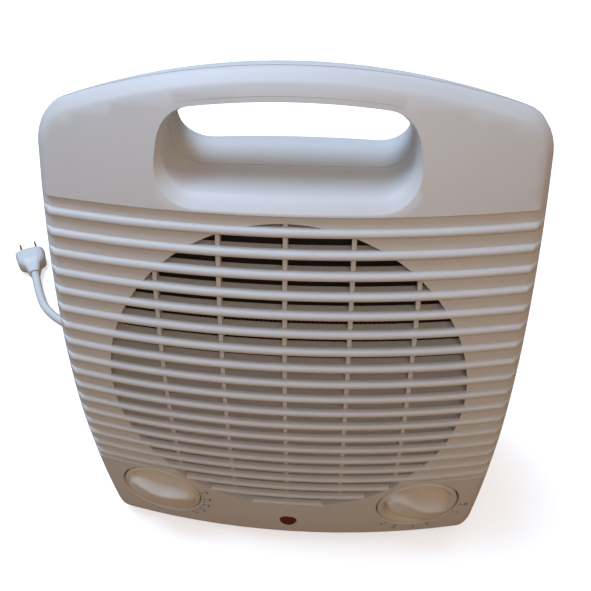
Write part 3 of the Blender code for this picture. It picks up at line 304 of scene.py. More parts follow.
def arched(half, foot, top_radius, top_corner, foot_corner, levels=()):
    """An upright outline whose top is an arch about the body's arch centre."""
    corner_x = half - top_corner
    corner_z = ARCH_CENTRE + math.sqrt((top_radius - top_corner) ** 2 - corner_x**2)
    lean = math.atan2(corner_z - ARCH_CENTRE, corner_x)
    right = arc((half - foot_corner, foot + foot_corner), foot_corner, -math.pi / 2, 0, CORNER_STEPS)
    right += [(half, z) for z in levels]
    right += arc((corner_x, corner_z), top_corner, 0, lean, CORNER_STEPS)
    top = arc((0, ARCH_CENTRE), top_radius, lean, math.pi - lean, 4 * CORNER_STEPS)[1:-1]
    steps = range(1 - CORNER_STEPS, CORNER_STEPS)
    base = [((half - foot_corner) * step / CORNER_STEPS, foot) for step in steps]
    return right + top + [(-x, z) for x, z in reversed(right)] + base


SIDE_LEVELS = [0.018 + 0.006 * step for step in range(37)]
SIDE_LEVELS = [z for z in SIDE_LEVELS if min(abs(z - FIELD_TOP), abs(z - FIELD_FOOT)) > 0.0015]
SIDE_LEVELS += [FIELD_TOP, FIELD_TOP - FIELD_STEP, FIELD_FOOT, FIELD_FOOT + FIELD_STEP]
SIDE_LEVELS = sorted(z for z in SIDE_LEVELS if z < CROWN - 0.040)


def body_outline(inset):
    corners = (ARCH_RADIUS - inset, TOP_CORNER - inset, FOOT_CORNER - inset)
    return arched(HALF_WIDTH - inset, FOOT + inset, *corners, SIDE_LEVELS)


def slot_outline(grow):
    corners = (ARCH_RADIUS - HANDLE_RISE + grow, SLOT_CORNER + grow, SLOT_CORNER + grow)
    return arched(SLOT_HALF + grow, SLOT_FOOT - grow, *corners)


def circle(x, z, radius, count):
    angles = [2 * math.pi * step / count for step in range(count)]
    return [(x + radius * math.cos(a), z + radius * math.sin(a)) for a in angles]


def rounded_rings(outline, radius, sign=1):
    """Rings that carry an edge from its outline to the flat, each with its share of the depth."""
    rings = []
    for step in range(ROUND_STEPS + 1):
        angle = math.pi / 2 * (1 - step / ROUND_STEPS)
        past, curve = math.sin(angle), math.cos(angle)
        share = FOLD_CURVE * curve + (1 - FOLD_CURVE) * (1 - past)
        rings.append(([*outline(sign * radius * (1 - past))], radius, share))
    return rings


def encloses(ring, x, z):
    """Whether a closed ring of points goes round this one."""
    crossings = 0
    for (ax, az), (bx, bz) in zip(ring, ring[1:] + ring[:1]):
        if (az > z) != (bz > z) and x < ax + (z - az) / (bz - az) * (bx - ax):
            crossings += 1
    return crossings % 2 == 1


def clear_of(ring, x, z):
    """Distance from a point to a closed ring."""
    spot, ends = Vector((x, z)), zip(ring, ring[1:] + ring[:1])
    return min((spot - closest_on(Vector(a), Vector(b), spot)).length for a, b in ends)


def closest_on(start, end, spot):
    along = (spot - start).dot(end - start) / max((end - start).length_squared, 1e-18)
    return start.lerp(end, min(max(along, 0), 1))


def lip_rings(outline, size):
    """Rings that carry the slot's edge back, steeply at its top and ends and as a sill at its foot."""
    inner, outer = outline(0), outline(size)
    low, high = min(z for _, z in inner), max(z for _, z in inner)
    rings = []
    for out, back in LIP_SLOPE:
        ring = []
        for (ax, az), (bx, bz) in zip(inner, outer):
            up = min(max((az - low) / (SILL_FADE * (high - low)), 0), 1)
            width = SILL_SHARE + (LIP_SHARE - SILL_SHARE) * up * up * (3 - 2 * up)
            ring.append((ax + (bx - ax) * out * width, az + (bz - az) * out * width))
        rings.append((ring, size, 1 - back))
    return rings


def paved(rings, holes, spacing, place, lines=(), margin=0.0016):
    """Fills the first ring, round the holes, with triangles, and puts each point where place says.

    A ring is (points, radius of its edge round, cosine of its place on that round), and a hole is the
    innermost ring of points round an opening.
    """
    flat, edges, tags = [], [], []
    for ring, radius, cosine in rings:
        first = len(flat)
        flat += [Vector(point) for point in ring]
        tags += [(radius, cosine)] * len(ring)
        edges += [(first + i, first + (i + 1) % len(ring)) for i in range(len(ring))]
    for line in lines:
        edges += [(len(flat) + i, len(flat) + i + 1) for i in range(len(line) - 1)]
        flat += [Vector(point) for point in line]
        tags += [None] * len(line)
    outer = rings[0][0]
    reach_x, low = max(x for x, _ in outer), min(z for _, z in outer)
    columns, rows = int(reach_x / spacing) + 1, int((max(z for _, z in outer) - low) / spacing) + 1
    near = []
    for ring in [[*ring, ring[0]] for ring, _, _ in rings] + list(lines):
        for (ax, az), (bx, bz) in zip(ring, ring[1:]):
            parts = int(math.hypot(bx - ax, bz - az) / margin) + 1
            near += [(ax + (bx - ax) * i / parts, az + (bz - az) * i / parts, 0) for i in range(parts)]
    tree_of_rings = KDTree(len(near))
    for index, point in enumerate(near):
        tree_of_rings.insert(point, index)
    tree_of_rings.balance()
    for row in range(rows):
        for column in range(-columns, columns + 1):
            x, z = spacing * (column + 0.5 * (row % 2)), low + spacing * (row + 0.5)
            if tree_of_rings.find((x, z, 0))[2] < margin or not encloses(outer, x, z):
                continue
            if not any(encloses(hole, x, z) for hole in holes):
                flat.append(Vector((x, z)))
                tags.append((0, 1))
    spots, _, faces, came_from, *_ = delaunay_2d_cdt(flat, edges, [], 0, 1e-7)
    shape = bmesh.new()
    verts = []
    for spot, sources in zip(spots, came_from):
        known = [tags[i] for i in sources if tags[i] is not None]
        radius, cosine = known[0] if known else (0, 1)
        verts.append(shape.verts.new(place(spot.x, spot.y, radius, cosine)))
    for face in faces:
        middle = sum((spots[i] for i in face), Vector((0, 0))) / len(face)
        if encloses(outer, *middle) and not any(encloses(hole, *middle) for hole in holes):
            shape.faces.new([verts[i] for i in face])
    for vert in list(shape.verts):
        if not vert.link_faces:
            shape.verts.remove(vert)
    return shape


def rim(shape, ring):
    """The open edges that lie along a ring of points, looked at from the front."""
    found = []
    for edge in shape.edges:
        if edge.is_boundary and all(clear_of(ring, v.co.x, v.co.z) < 3e-5 for v in edge.verts):
            found.append(edge)
    return found


def drawn(shape, edges, move):
    """Draws open edges out into a wall: each new point goes to move(old point)."""
    made = bmesh.ops.extrude_edge_only(shape, edges=edges)["geom"]
    for vert in (item for item in made if isinstance(item, bmesh.types.BMVert)):
        vert.co = move(vert.co)
    return [item for item in made if isinstance(item, bmesh.types.BMEdge)]


def to_depth(depth):
    return lambda at: Vector((at.x, depth, at.z))


def dial_frame(side, turned=0.0):
    """A dial's own frame on the face: X across it, Y up it and Z out of it."""
    at_x, small = side * DIAL_X, 1e-4
    slope_x = (front_face(at_x + small, DIAL_Z) - front_face(at_x - small, DIAL_Z)) / (2 * small)
    slope_z = (front_face(at_x, DIAL_Z + small) - front_face(at_x, DIAL_Z - small)) / (2 * small)
    outward = Vector((slope_x, -1, slope_z)).normalized()
    across = Vector((1, slope_x, 0)).normalized()
    axes = Matrix((across, outward.cross(across), outward)).transposed().to_4x4()
    place_at = Matrix.Translation((at_x, front_face(at_x, DIAL_Z), DIAL_Z))
    return place_at @ axes @ Matrix.Rotation(math.radians(turned), 4, "Z")


def front_place(x, z, radius, cosine):
    """A point of the front's skin, with its edge round and its field set back."""
    in_field = FIELD_FOOT + FIELD_STEP / 2 < z < FIELD_TOP - FIELD_STEP / 2
    set_back = FIELD_SET if in_field else 0.0
    return Vector((x, front_face(x, z) + radius - (radius - set_back) * cosine, z))


def dial_ring(side):
    return lambda grow: circle(side * DIAL_X, DIAL_Z, WELL_RADIUS + grow, 64)


def lens_ring(grow):
    return circle(0, LENS_Z, LENS_RADIUS + LENS_GAP + grow, 28)


outlet_ring = circle(0, OUTLET_Z, OUTLET_RADIUS, 120)
rings = rounded_rings(body_outline, EDGE_ROUND) + lip_rings(slot_outline, LIP_ROUND)
rings += [(outlet_ring, 0, 1)] + rounded_rings(lens_ring, LENS_EDGE)
rings += rounded_rings(dial_ring(-1), WELL_ROUND) + rounded_rings(dial_ring(1), WELL_ROUND)
holes = [slot_outline(0), outlet_ring, dial_ring(-1)(0), dial_ring(1)(0), lens_ring(0)]
step_lines = []
for z in (FIELD_TOP, FIELD_TOP - FIELD_STEP, FIELD_FOOT, FIELD_FOOT + FIELD_STEP):
    step_lines.append([(HALF_WIDTH * column / 24, z) for column in range(-24, 25)])
shape = paved(rings, holes, PAVE, front_place, step_lines)

drawn(shape, rim(shape, outlet_ring), to_depth(COLLAR_BACK))
drawn(shape, rim(shape, slot_outline(0)), to_depth(PARTING_Y - PARTING_GAP))
drawn(shape, rim(shape, body_outline(0)), to_depth(PARTING_Y - PARTING_GAP))
drawn(shape, rim(shape, lens_ring(0)), lambda at: at + Vector((0, LENS_HOLE_DEEP, 0)))
for side in (-1, 1):
    into = dial_frame(side).to_3x3() @ Vector((0, 0, -1))
    well_rim = drawn(shape, rim(shape, dial_ring(side)(0)), lambda at: at + into * WELL_DEPTH)
    floor_of_well = bmesh.ops.contextual_create(shape, geom=well_rim)["faces"]
    bmesh.ops.triangulate(shape, faces=floor_of_well)

shell_material, tree, shader = new_material("moulded_abs")
# Moulded ABS with a fine matt grain off a spark-eroded tool: broad soft highlights, and the faint
# cloudiness that age gives an off-white plastic. The real grain is 0.1 mm, drawn here at 0.5 mm.
GRAIN_PER_METRE = 1 / 0.0005
place = add(tree, "ShaderNodeTexCoord")
pits = {"Vector": place.outputs["Object"], "Scale": GRAIN_PER_METRE, "Detail": 3.0}
grain = add(tree, "ShaderNodeTexNoise", pits)
cloud = clouded(tree, shader, 22.0, 5.0, "#DEDBD5", "#D5D1CA")
sheen = add(tree, "ShaderNodeMapRange", {"Value": cloud, "To Min": 0.44, "To Max": 0.56})
tree.links.new(sheen.outputs["Result"], shader.inputs["Roughness"])
bump = add(tree, "ShaderNodeBump", {"Height": grain.outputs["Fac"], "Strength": 0.10, "Distance": 0.0002})
tree.links.new(bump.outputs["Normal"], shader.inputs["Normal"])


def walled(made, thickness):
    """Gives a skin its thickness, inwards, and keeps the result as a plain mesh."""
    solid = made.modifiers.new("wall", "SOLIDIFY")
    solid.thickness = thickness
    solid.offset = -1
    graph = bpy.context.evaluated_depsgraph_get()
    mesh = bpy.data.meshes.new_from_object(made.evaluated_get(graph))
    made.modifiers.clear()
    made.data = mesh
    mesh.shade_smooth()
    mesh.set_sharp_from_angle(angle=math.radians(32))


front_skin = mesh_object("front_skin", shape, shell_material)
walled(front_skin, WALL - SKIN_SPARE)
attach(front_skin, "root")
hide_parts("front_shell")

# ---------------------------------------------------------------- Outlet louvres
# Moulded with the front shell: a rounded rib every 8.3 mm, which stands out of the set-back field,
# runs round both side edges and, across the outlet, carries a thin blade that hides the element.
# Upright stays tie the blades a little behind their noses.
RIB_PITCH, FIRST_RIB, WIDE_RIBS, ALL_RIBS = 0.0083, 0.1994, 17, 20
RIB_HIGH, RIB_DEEP, BLADE_HIGH, BLADE_DEEP = 0.0031, 0.0030, 0.0017, 0.0075
TUCK = 0.0008
STAY_SPACING, STAY_WIDE, STAY_SET, STAY_DEEP = 0.0276, 0.0019, 0.0032, 0.0036
nose_profile = [
    (RIB_DEEP, -0.50), (0.0013, -0.50), (0.0007, -0.44), (0.0003, -0.33), (0.00008, -0.18), (0, 0.0),
    (0.00008, 0.18), (0.0003, 0.33), (0.0007, 0.44), (0.0013, 0.50), (RIB_DEEP, 0.50),
]  # fmt: skip
blade_profile = [(0.0015, -0.5), (0.0015, 0.5), (BLADE_DEEP, 0.42), (BLADE_DEEP, -0.42)]
EVEN_COLUMNS = [-0.955 + 1.91 * step / 30 for step in range(31)]
END_COLUMNS = [0.962, 0.968, 0.974, 0.980, 0.986, 0.991, 0.994, 0.9975]
BAR_COLUMNS = [-u for u in reversed(END_COLUMNS)] + EVEN_COLUMNS + END_COLUMNS


def lofted(name, sections, material=None, sharp=32):
    """A closed body through sections that have as many points each."""
    shape = bmesh.new()
    loops = [[shape.verts.new(point) for point in section] for section in sections]
    for first, second in zip(loops, loops[1:]):
        for i in range(len(first)):
            j = (i + 1) % len(first)
            shape.faces.new((first[i], first[j], second[j], second[i]))
    shape.faces.new(loops[0])
    shape.faces.new(list(reversed(loops[-1])))
    return mesh_object(name, shape, material, sharp)


def unit_bar(name, profile, height):
    """A bar from x = -1 to 1 whose section is (depth, height), for a tree to stretch and bow."""
    return lofted(name, [[(u, depth, high * height) for depth, high in profile] for u in BAR_COLUMNS])


def new_tree(name, **inputs):
    """An empty tree that takes a body, the named inputs and a material, and gives a body."""
    tree = bpy.data.node_groups.new(name, "GeometryNodeTree")
    tree.interface.new_socket("Geometry", in_out="OUTPUT", socket_type="NodeSocketGeometry")
    tree.interface.new_socket("Geometry", in_out="INPUT", socket_type="NodeSocketGeometry")
    for label, value in inputs.items():
        kind = "NodeSocketInt" if isinstance(value, int) else "NodeSocketFloat"
        made = tree.interface.new_socket(label.replace("_", " "), in_out="INPUT", socket_type=kind)
        made.default_value = value
    tree.interface.new_socket("Material", in_out="INPUT", socket_type="NodeSocketMaterial")
    return tree, add(tree, "NodeGroupInput").outputs


def face_of(tree, x, z):
    """Depth of the front's skin at x and z, and its edge's cosine, as front_face and the rings have them."""
    kind = "ShaderNodeMath"
    squared = add(tree, kind, {0: x, 1: x}, operation="MULTIPLY").outputs[0]
    inner = add(tree, kind, {0: BOW_ACROSS**2, 1: squared}, operation="SUBTRACT").outputs[0]
    across = add(tree, kind, {0: inner}, operation="SQRT").outputs[0]
    rise = add(tree, kind, {0: z, 1: PEAK_HEIGHT}, operation="SUBTRACT").outputs[0]
    above = add(tree, kind, {0: rise, 1: 0.0}, operation="GREATER_THAN").outputs[0]
    upper, lower = 1 / (2 * BOW_UPPER), 1 / (2 * BOW_LOWER)
    bend = add(tree, kind, {0: above, 1: upper - lower, 2: lower}, operation="MULTIPLY_ADD").outputs[0]
    rise_squared = add(tree, kind, {0: rise, 1: rise}, operation="MULTIPLY").outputs[0]
    lean = add(tree, kind, {0: rise_squared, 1: bend}, operation="MULTIPLY").outputs[0]
    sag = add(tree, kind, {0: FRONT_Y + BOW_ACROSS, 1: across}, operation="SUBTRACT").outputs[0]
    skin = add(tree, kind, {0: sag, 1: lean}, operation="ADD").outputs[0]
    sideways = add(tree, kind, {0: x}, operation="ABSOLUTE").outputs[0]
    past = add(tree, kind, {0: sideways, 1: HALF_WIDTH - EDGE_ROUND}, operation="SUBTRACT").outputs[0]
    share = add(tree, kind, {0: past, 1: EDGE_ROUND}, operation="DIVIDE").outputs[0]
    share = add(tree, kind, {0: share, 1: 0.0}, operation="MAXIMUM").outputs[0]
    sine = add(tree, kind, {0: share, 1: 1.0}, operation="MINIMUM").outputs[0]
    sine_squared = add(tree, kind, {0: sine, 1: sine}, operation="MULTIPLY").outputs[0]
    rest = add(tree, kind, {0: 1.0, 1: sine_squared}, operation="SUBTRACT").outputs[0]
    curve = add(tree, kind, {0: rest}, operation="SQRT").outputs[0]
    slope = add(tree, kind, {0: 1.0, 1: sine}, operation="SUBTRACT").outputs[0]
    bevel = add(tree, kind, {0: slope, 1: 1 - FOLD_CURVE}, operation="MULTIPLY").outputs[0]
    cosine = add(tree, kind, {0: curve, 1: FOLD_CURVE, 2: bevel}, operation="MULTIPLY_ADD").outputs[0]
    return skin, cosine


def chord_at(tree, offset):
    """Half the outlet's width at an offset from its centre, with a tuck into its wall."""
    kind = "ShaderNodeMath"
    squared = add(tree, kind, {0: offset, 1: offset}, operation="MULTIPLY").outputs[0]
    left = add(tree, kind, {0: OUTLET_RADIUS**2, 1: squared}, operation="SUBTRACT").outputs[0]
    left = add(tree, kind, {0: left, 1: 0.0}, operation="MAXIMUM").outputs[0]
    half = add(tree, kind, {0: left}, operation="SQRT").outputs[0]
    return add(tree, kind, {0: half, 1: TUCK}, operation="ADD").outputs[0]


def placed_on(tree, points, seed, axis, label):
    """Sets a body at each point, made real, and gives back where on the axis each copy was set."""
    spot = add(tree, "GeometryNodeInputPosition").outputs[0]
    on_axis = add(tree, "ShaderNodeSeparateXYZ", {0: spot}).outputs[axis]
    kept = {"Geometry": points, "Name": label, "Value": on_axis}
    named = add(tree, "GeometryNodeStoreNamedAttribute", kept, data_type="FLOAT")
    copies = add(tree, "GeometryNodeInstanceOnPoints", {"Points": named.outputs[0], "Instance": seed})
    real = add(tree, "GeometryNodeRealizeInstances", {"Geometry": copies.outputs[0]})
    was = add(tree, "GeometryNodeInputNamedAttribute", {"Name": label}, data_type="FLOAT")
    parts = add(tree, "ShaderNodeSeparateXYZ", {0: spot}).outputs
    return real.outputs[0], was.outputs["Attribute"], parts


def moved_and_coated(tree, body, material, **position):
    """Ends a tree: moves each point to its place, then gives the body its material."""
    moved = add(tree, "ShaderNodeCombineXYZ", position)
    placed = add(tree, "GeometryNodeSetPosition", {"Geometry": body, "Position": moved.outputs[0]})
    coat = {"Geometry": placed.outputs[0], "Material": material}
    coated = add(tree, "GeometryNodeSetMaterial", coat)
    add(tree, "NodeGroupOutput", {"Geometry": coated.outputs[0]})


# Rows of one bar, stretched to the field or the outlet and bowed with the face.
rows_of_bars, given = new_tree("louvre_rows", Rows=10, First_height=0.2, Pitch=0.008, Fit_the_outlet=0.0)
tree = rows_of_bars
start = add(tree, "ShaderNodeCombineXYZ", {"Z": given["First height"]})
drop = add(tree, "ShaderNodeMath", {0: given["Pitch"], 1: -1.0}, operation="MULTIPLY").outputs[0]
down = add(tree, "ShaderNodeCombineXYZ", {"Z": drop})
line = add(
    tree,
    "GeometryNodeMeshLine",
    {"Count": given["Rows"], "Start Location": start.outputs[0], "Offset": down.outputs[0]},
)
body, row, parts = placed_on(tree, line.outputs["Mesh"], given["Geometry"], "Z", "row")
kind = "ShaderNodeMath"
offset = add(tree, kind, {0: row, 1: OUTLET_Z}, operation="SUBTRACT").outputs[0]
spare = add(tree, kind, {0: chord_at(tree, offset), 1: HALF_WIDTH}, operation="SUBTRACT").outputs[0]
fit = {0: given["Fit the outlet"], 1: spare, 2: HALF_WIDTH}
half = add(tree, kind, fit, operation="MULTIPLY_ADD").outputs[0]
x = add(tree, kind, {0: parts["X"], 1: half}, operation="MULTIPLY").outputs[0]
skin, cosine = face_of(tree, x, parts["Z"])
left = add(tree, kind, {0: EDGE_ROUND, 1: parts["Y"]}, operation="SUBTRACT").outputs[0]
pulled = add(tree, kind, {0: left, 1: cosine}, operation="MULTIPLY").outputs[0]
edge = add(tree, kind, {0: skin, 1: EDGE_ROUND}, operation="ADD").outputs[0]
y = add(tree, kind, {0: edge, 1: pulled}, operation="SUBTRACT").outputs[0]
moved_and_coated(tree, body, given["Material"], X=x, Y=y, Z=parts["Z"])


def grown(name, seed, tree, sharp=40, **values):
    """Runs a tree on an object and keeps the result as a plain mesh."""
    modifier = seed.modifiers.new("grown", "NODES")
    modifier.node_group = tree
    sockets = [item for item in tree.interface.items_tree if item.in_out == "INPUT"]
    identifiers = {item.name: item.identifier for item in sockets}
    for key, value in values.items():
        modifier[identifiers[key.replace("_", " ")]] = value
    graph = bpy.context.evaluated_depsgraph_get()
    mesh = bpy.data.meshes.new_from_object(seed.evaluated_get(graph))
    bpy.data.objects.remove(seed)
    mesh.shade_smooth()
    mesh.set_sharp_from_angle(angle=math.radians(sharp))
    made = bpy.data.objects.new(name, mesh)
    scene.collection.objects.link(made)
    return made


nose = ("nose", nose_profile, RIB_HIGH)
blade = ("blade", blade_profile, BLADE_HIGH)
for name, bar, rows, first, fit in (
    ("louvre_noses", nose, WIDE_RIBS, FIRST_RIB, 0.0),
    ("louvre_short_noses", nose, ALL_RIBS - WIDE_RIBS, FIRST_RIB - WIDE_RIBS * RIB_PITCH, 1.0),
    ("louvre_blades", blade, ALL_RIBS, FIRST_RIB, 1.0),
):
    sizes = {"Rows": rows, "First_height": first, "Pitch": RIB_PITCH, "Fit_the_outlet": fit}
    piece = grown(name, unit_bar(*bar), rows_of_bars, **sizes, Material=shell_material)
    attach(piece, "root")

# Upright stays, one tree: each is drawn to its own chord of the outlet and bowed with the face.
STAYS, STAY_ROWS = 5, 28
sections = []
for step in range(STAY_ROWS + 1):
    level = 2 * step / STAY_ROWS - 1
    corners = ((-0.5, 0.0), (0.5, 0.0), (0.5, STAY_DEEP), (-0.5, STAY_DEEP))
    sections.append([(side * STAY_WIDE, depth, level) for side, depth in corners])
unit_stay = lofted("unit_stay", sections)

tree, given = new_tree("stay_columns", Columns=STAYS, Spacing=0.02, Set_back=0.003)
kind = "ShaderNodeMath"
gaps = add(tree, kind, {0: given["Columns"], 1: 1.0}, operation="SUBTRACT").outputs[0]
half_gaps = add(tree, kind, {0: gaps, 1: -0.5}, operation="MULTIPLY").outputs[0]
left_most = add(tree, kind, {0: half_gaps, 1: given["Spacing"]}, operation="MULTIPLY").outputs[0]
start = add(tree, "ShaderNodeCombineXYZ", {"X": left_most})
right_by = add(tree, "ShaderNodeCombineXYZ", {"X": given["Spacing"]})
line = add(
    tree,
    "GeometryNodeMeshLine",
    {"Count": given["Columns"], "Start Location": start.outputs[0], "Offset": right_by.outputs[0]},
)
body, column, parts = placed_on(tree, line.outputs["Mesh"], given["Geometry"], "X", "column")
level = {0: parts["Z"], 1: chord_at(tree, column), 2: OUTLET_Z}
height = add(tree, kind, level, operation="MULTIPLY_ADD").outputs[0]
skin, _ = face_of(tree, parts["X"], height)
deep = add(tree, kind, {0: skin, 1: parts["Y"]}, operation="ADD").outputs[0]
y = add(tree, kind, {0: deep, 1: given["Set back"]}, operation="ADD").outputs[0]
moved_and_coated(tree, body, given["Material"], X=parts["X"], Y=y, Z=height)
sizes = {"Columns": STAYS, "Spacing": STAY_SPACING, "Set_back": STAY_SET}
stays = grown("louvre_stays", unit_stay, tree, **sizes, Material=shell_material)
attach(stays, "root")

# ---------------------------------------------------------------- Rear shell
# The same off-white ABS: a domed tub that carries the intake slots, the other half of the handle,
# four deep screw wells and the cord's exit. Screws from behind pull it on to the front shell.
REAR_BOW_ACROSS, REAR_PEAK = 0.350, 0.065
BACK_Y = 0.064
REAR_BOW_UP = (CROWN - REAR_PEAK) ** 2 / (2 * (BACK_Y - PARTING_Y - 0.0107))
REAR_EDGE, REAR_LIP, SLOT_EDGE = 0.0060, 0.0062, 0.0005
INTAKE_RADIUS, INTAKE_PITCH, INTAKE_HIGH, INTAKE_STAY, INTAKE_ROWS = 0.058, 0.0085, 0.0042, 0.004, 6
SCREW_SIDE, SCREW_LOW, SCREW_HIGH = 0.094, 0.018, 0.196
SCREW_PLACES = [(side * SCREW_SIDE, z) for z in (SCREW_LOW, SCREW_HIGH) for side in (-1, 1)]
SCREW_WELL, SCREW_SEAT, ROUND_MIDWAY = 0.0038, 0.0033, 0.714
EXIT_X, EXIT_Z, EXIT_HOLE = -0.062, 0.020, 0.0058


def back_face(x, z):
    """Y of the back's domed skin."""
    return BACK_Y - (z - REAR_PEAK) ** 2 / (2 * REAR_BOW_UP) - x**2 / (2 * REAR_BOW_ACROSS)


def rear_place(x, z, radius, cosine):
    return Vector((x, back_face(x, z) - radius + radius * cosine, z))


def rounded_slot(left, right, z, high):
    """An intake slot with round ends."""
    radius = high / 2
    right_end = arc((right - radius, z), radius, -math.pi / 2, math.pi / 2, 8)
    left_end = arc((left + radius, z), radius, math.pi / 2, 1.5 * math.pi, 8)
    between = max(int((right - left) / 0.004), 2)
    low = [(left + radius + (right - left - high) * i / between, z - radius) for i in range(1, between)]
    top = [(right - radius - (right - left - high) * i / between, z + radius) for i in range(1, between)]
    return right_end + top + left_end + low


intake_slots = []
for row in range(-INTAKE_ROWS, INTAKE_ROWS + 1):
    reach = math.sqrt(INTAKE_RADIUS**2 - (row * INTAKE_PITCH) ** 2)
    for side in (-1, 1):
        ends = sorted((side * INTAKE_STAY / 2, side * reach))
        intake_slots.append((*ends, OUTLET_Z + row * INTAKE_PITCH))
rings = rounded_rings(body_outline, REAR_EDGE) + rounded_rings(slot_outline, REAR_LIP)
holes = [slot_outline(0)]
for left, right, z in intake_slots:
    for grow, cosine in ((0, 0), (0.3 * SLOT_EDGE, ROUND_MIDWAY), (SLOT_EDGE, 1)):
        ring = rounded_slot(left - grow, right + grow, z, INTAKE_HIGH + 2 * grow)
        rings.append((ring, SLOT_EDGE, cosine))
    holes.append(rounded_slot(left, right, z, INTAKE_HIGH))
round_holes = [(x, z, SCREW_WELL) for x, z in SCREW_PLACES] + [(EXIT_X, EXIT_Z, EXIT_HOLE)]
for x, z, radius in round_holes:
    for grow, cosine in ((0, 0), (0.0002, ROUND_MIDWAY), (SLOT_EDGE, 1)):
        rings.append((circle(x, z, radius + grow, 28), SLOT_EDGE, cosine))
    holes.append(circle(x, z, radius, 28))
shape = paved(rings, holes, PAVE, rear_place, margin=0.0012)
drawn(shape, rim(shape, body_outline(0)), to_depth(PARTING_Y + PARTING_GAP))
drawn(shape, rim(shape, slot_outline(0)), to_depth(PARTING_Y + PARTING_GAP))
for x, z in SCREW_PLACES:
    well = rim(shape, circle(x, z, SCREW_WELL, 28))
    well_rim = drawn(shape, well, to_depth(PARTING_Y + SCREW_SEAT))
    seat = bmesh.ops.contextual_create(shape, geom=well_rim)["faces"]
    bmesh.ops.triangulate(shape, faces=seat)
rear_skin = mesh_object("rear_skin", shape, shell_material)
walled(rear_skin, WALL - SKIN_SPARE)
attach(rear_skin, "root")
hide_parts("rear_shell")

# ---------------------------------------------------------------- Dials
# Off-white ABS knobs pushed on to D-shafts: a disc flush with the face in a narrow ring gap, with a
# flat rim, two scooped finger hollows and a broad raised grip between them.
DIAL_RADIUS, DIAL_EDGE, DIAL_TOP, DIAL_BASE = 0.0214, 0.0007, -0.0004, -0.0078
DIAL_RIM, SCOOP_DEEP, SCOOP_RUN, DIAL_PAVE, DIAL_PAVE_MARGIN = 0.0197, 0.0038, 0.0042, 0.0011, 0.0005
GRIP_HALF, GRIP_WIDE, GRIP_CREST, GRIP_ROUND, GRIP_DRAFT = 0.0185, 0.0063, 0.0056, 0.0016, 0.0009
GRIP_FLARE, GRIP_BOW = 0.0012, 12
dial_material, tree, shader = new_material("moulded_abs_dial")
# The same plastic in a creamier shade, and a little duller from handling.
cloud = clouded(tree, shader, 60.0, 4.0, "#E2DACB", "#D8CFC0")
sheen = add(tree, "ShaderNodeMapRange", {"Value": cloud, "To Min": 0.5, "To Max": 0.62})
tree.links.new(sheen.outputs["Result"], shader.inputs["Roughness"])


def grip_ring(grow):
    """The grip's outline, a little wider at its ends than at its waist."""
    centre = GRIP_HALF - GRIP_WIDE
    ends = arc((centre, 0), GRIP_WIDE + grow, -0.42 * math.pi, 0.42 * math.pi, 14)
    waist_x = [centre * 0.8 - centre * 1.6 * i / 10 for i in range(11)]
    waist = []
    for x in waist_x:
        pinch = GRIP_FLARE * math.cos(math.pi / 2 * x / centre) ** 2
        waist.append((x, GRIP_WIDE + grow - pinch))
    half = ends + waist
    return half + [(-x, -y) for x, y in half]


def smooth(low, high, value):
    t = min(max((value - low) / (high - low), 0), 1)
    return t * t * (3 - 2 * t)


def dial_height(x, y, radius, cosine):
    """Height of the dial's top: a flat rim, hollows inside it, and the grip above them."""
    out = math.hypot(x, y)
    hollow = DIAL_TOP
    if out < DIAL_RIM:
        hollow -= SCOOP_DEEP * smooth(DIAL_RIM, DIAL_RIM - SCOOP_RUN, out)
    if radius == DIAL_EDGE:
        return DIAL_TOP - radius + radius * cosine
    away = clear_of(grip_waistline, x, y) * (-1 if encloses(grip_waistline, x, y) else 1)
    if away >= GRIP_DRAFT - 1e-6:
        return hollow
    crown = GRIP_CREST - GRIP_BOW * (x * x)
    if away >= 0:
        return hollow + (crown - GRIP_ROUND - hollow) * (1 - away / GRIP_DRAFT)
    inset = min(-away, GRIP_ROUND)
    return crown - GRIP_ROUND + math.sqrt(GRIP_ROUND**2 - (GRIP_ROUND - inset) ** 2)


grip_waistline = grip_ring(0)
rings = rounded_rings(lambda inset: circle(0, 0, DIAL_RADIUS - inset, 72), DIAL_EDGE)
for radius in (DIAL_RIM, DIAL_RIM - 0.0008, DIAL_RIM - 0.0018, DIAL_RIM - 0.003, DIAL_RIM - SCOOP_RUN):
    if radius > GRIP_HALF + GRIP_DRAFT + 0.0002:
        rings.append((circle(0, 0, radius, 60), 0, 1))
for grow in (GRIP_DRAFT, 0.0, -0.0002, -0.0005, -0.0009, -GRIP_ROUND):
    rings.append((grip_ring(grow), 0, 1))


def dial_place(x, y, radius, cosine):
    return Vector((x, y, dial_height(x, y, radius, cosine)))


def dial(name, side, turned, body, node):
    """One knob, in its place, riding on its own body."""
    shape = paved(rings, [], DIAL_PAVE, dial_place, margin=DIAL_PAVE_MARGIN)
    edge = [e for e in shape.edges if e.is_boundary]
    low = drawn(shape, edge, lambda at: Vector((at.x, at.y, DIAL_BASE)))
    under = bmesh.ops.contextual_create(shape, geom=low)["faces"]
    bmesh.ops.triangulate(shape, faces=under)
    bmesh.ops.transform(shape, matrix=dial_frame(side, turned), verts=shape.verts)
    made = mesh_object(name, shape, dial_material, sharp=38)
    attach(made, body)
    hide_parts(node)


dial("thermostat_dial_cap", -1, -14.0, "thermostat_dial", "thermostat_knob")
dial("mode_dial_cap", 1, -28.0, "mode_dial", "mode_knob")

# ---------------------------------------------------------------- Dial marks
# Dark grey ink, pad printed on the foot panel beside each dial: plain ticks, numbers for the
# thermostat's settings, and dots that grow for the fan's. They stand 0.06 mm off the face.
INK_STAND, TICK_LONG, TICK_WIDE, TICK_RADIUS = 0.00006, 0.0018, 0.00060, 0.0236
FIGURE_RADIUS, FIGURE_SIZE, MINOR_SHARE = 0.0272, 0.0040, 0.55
ink_material, tree, shader = new_material("printed_ink")
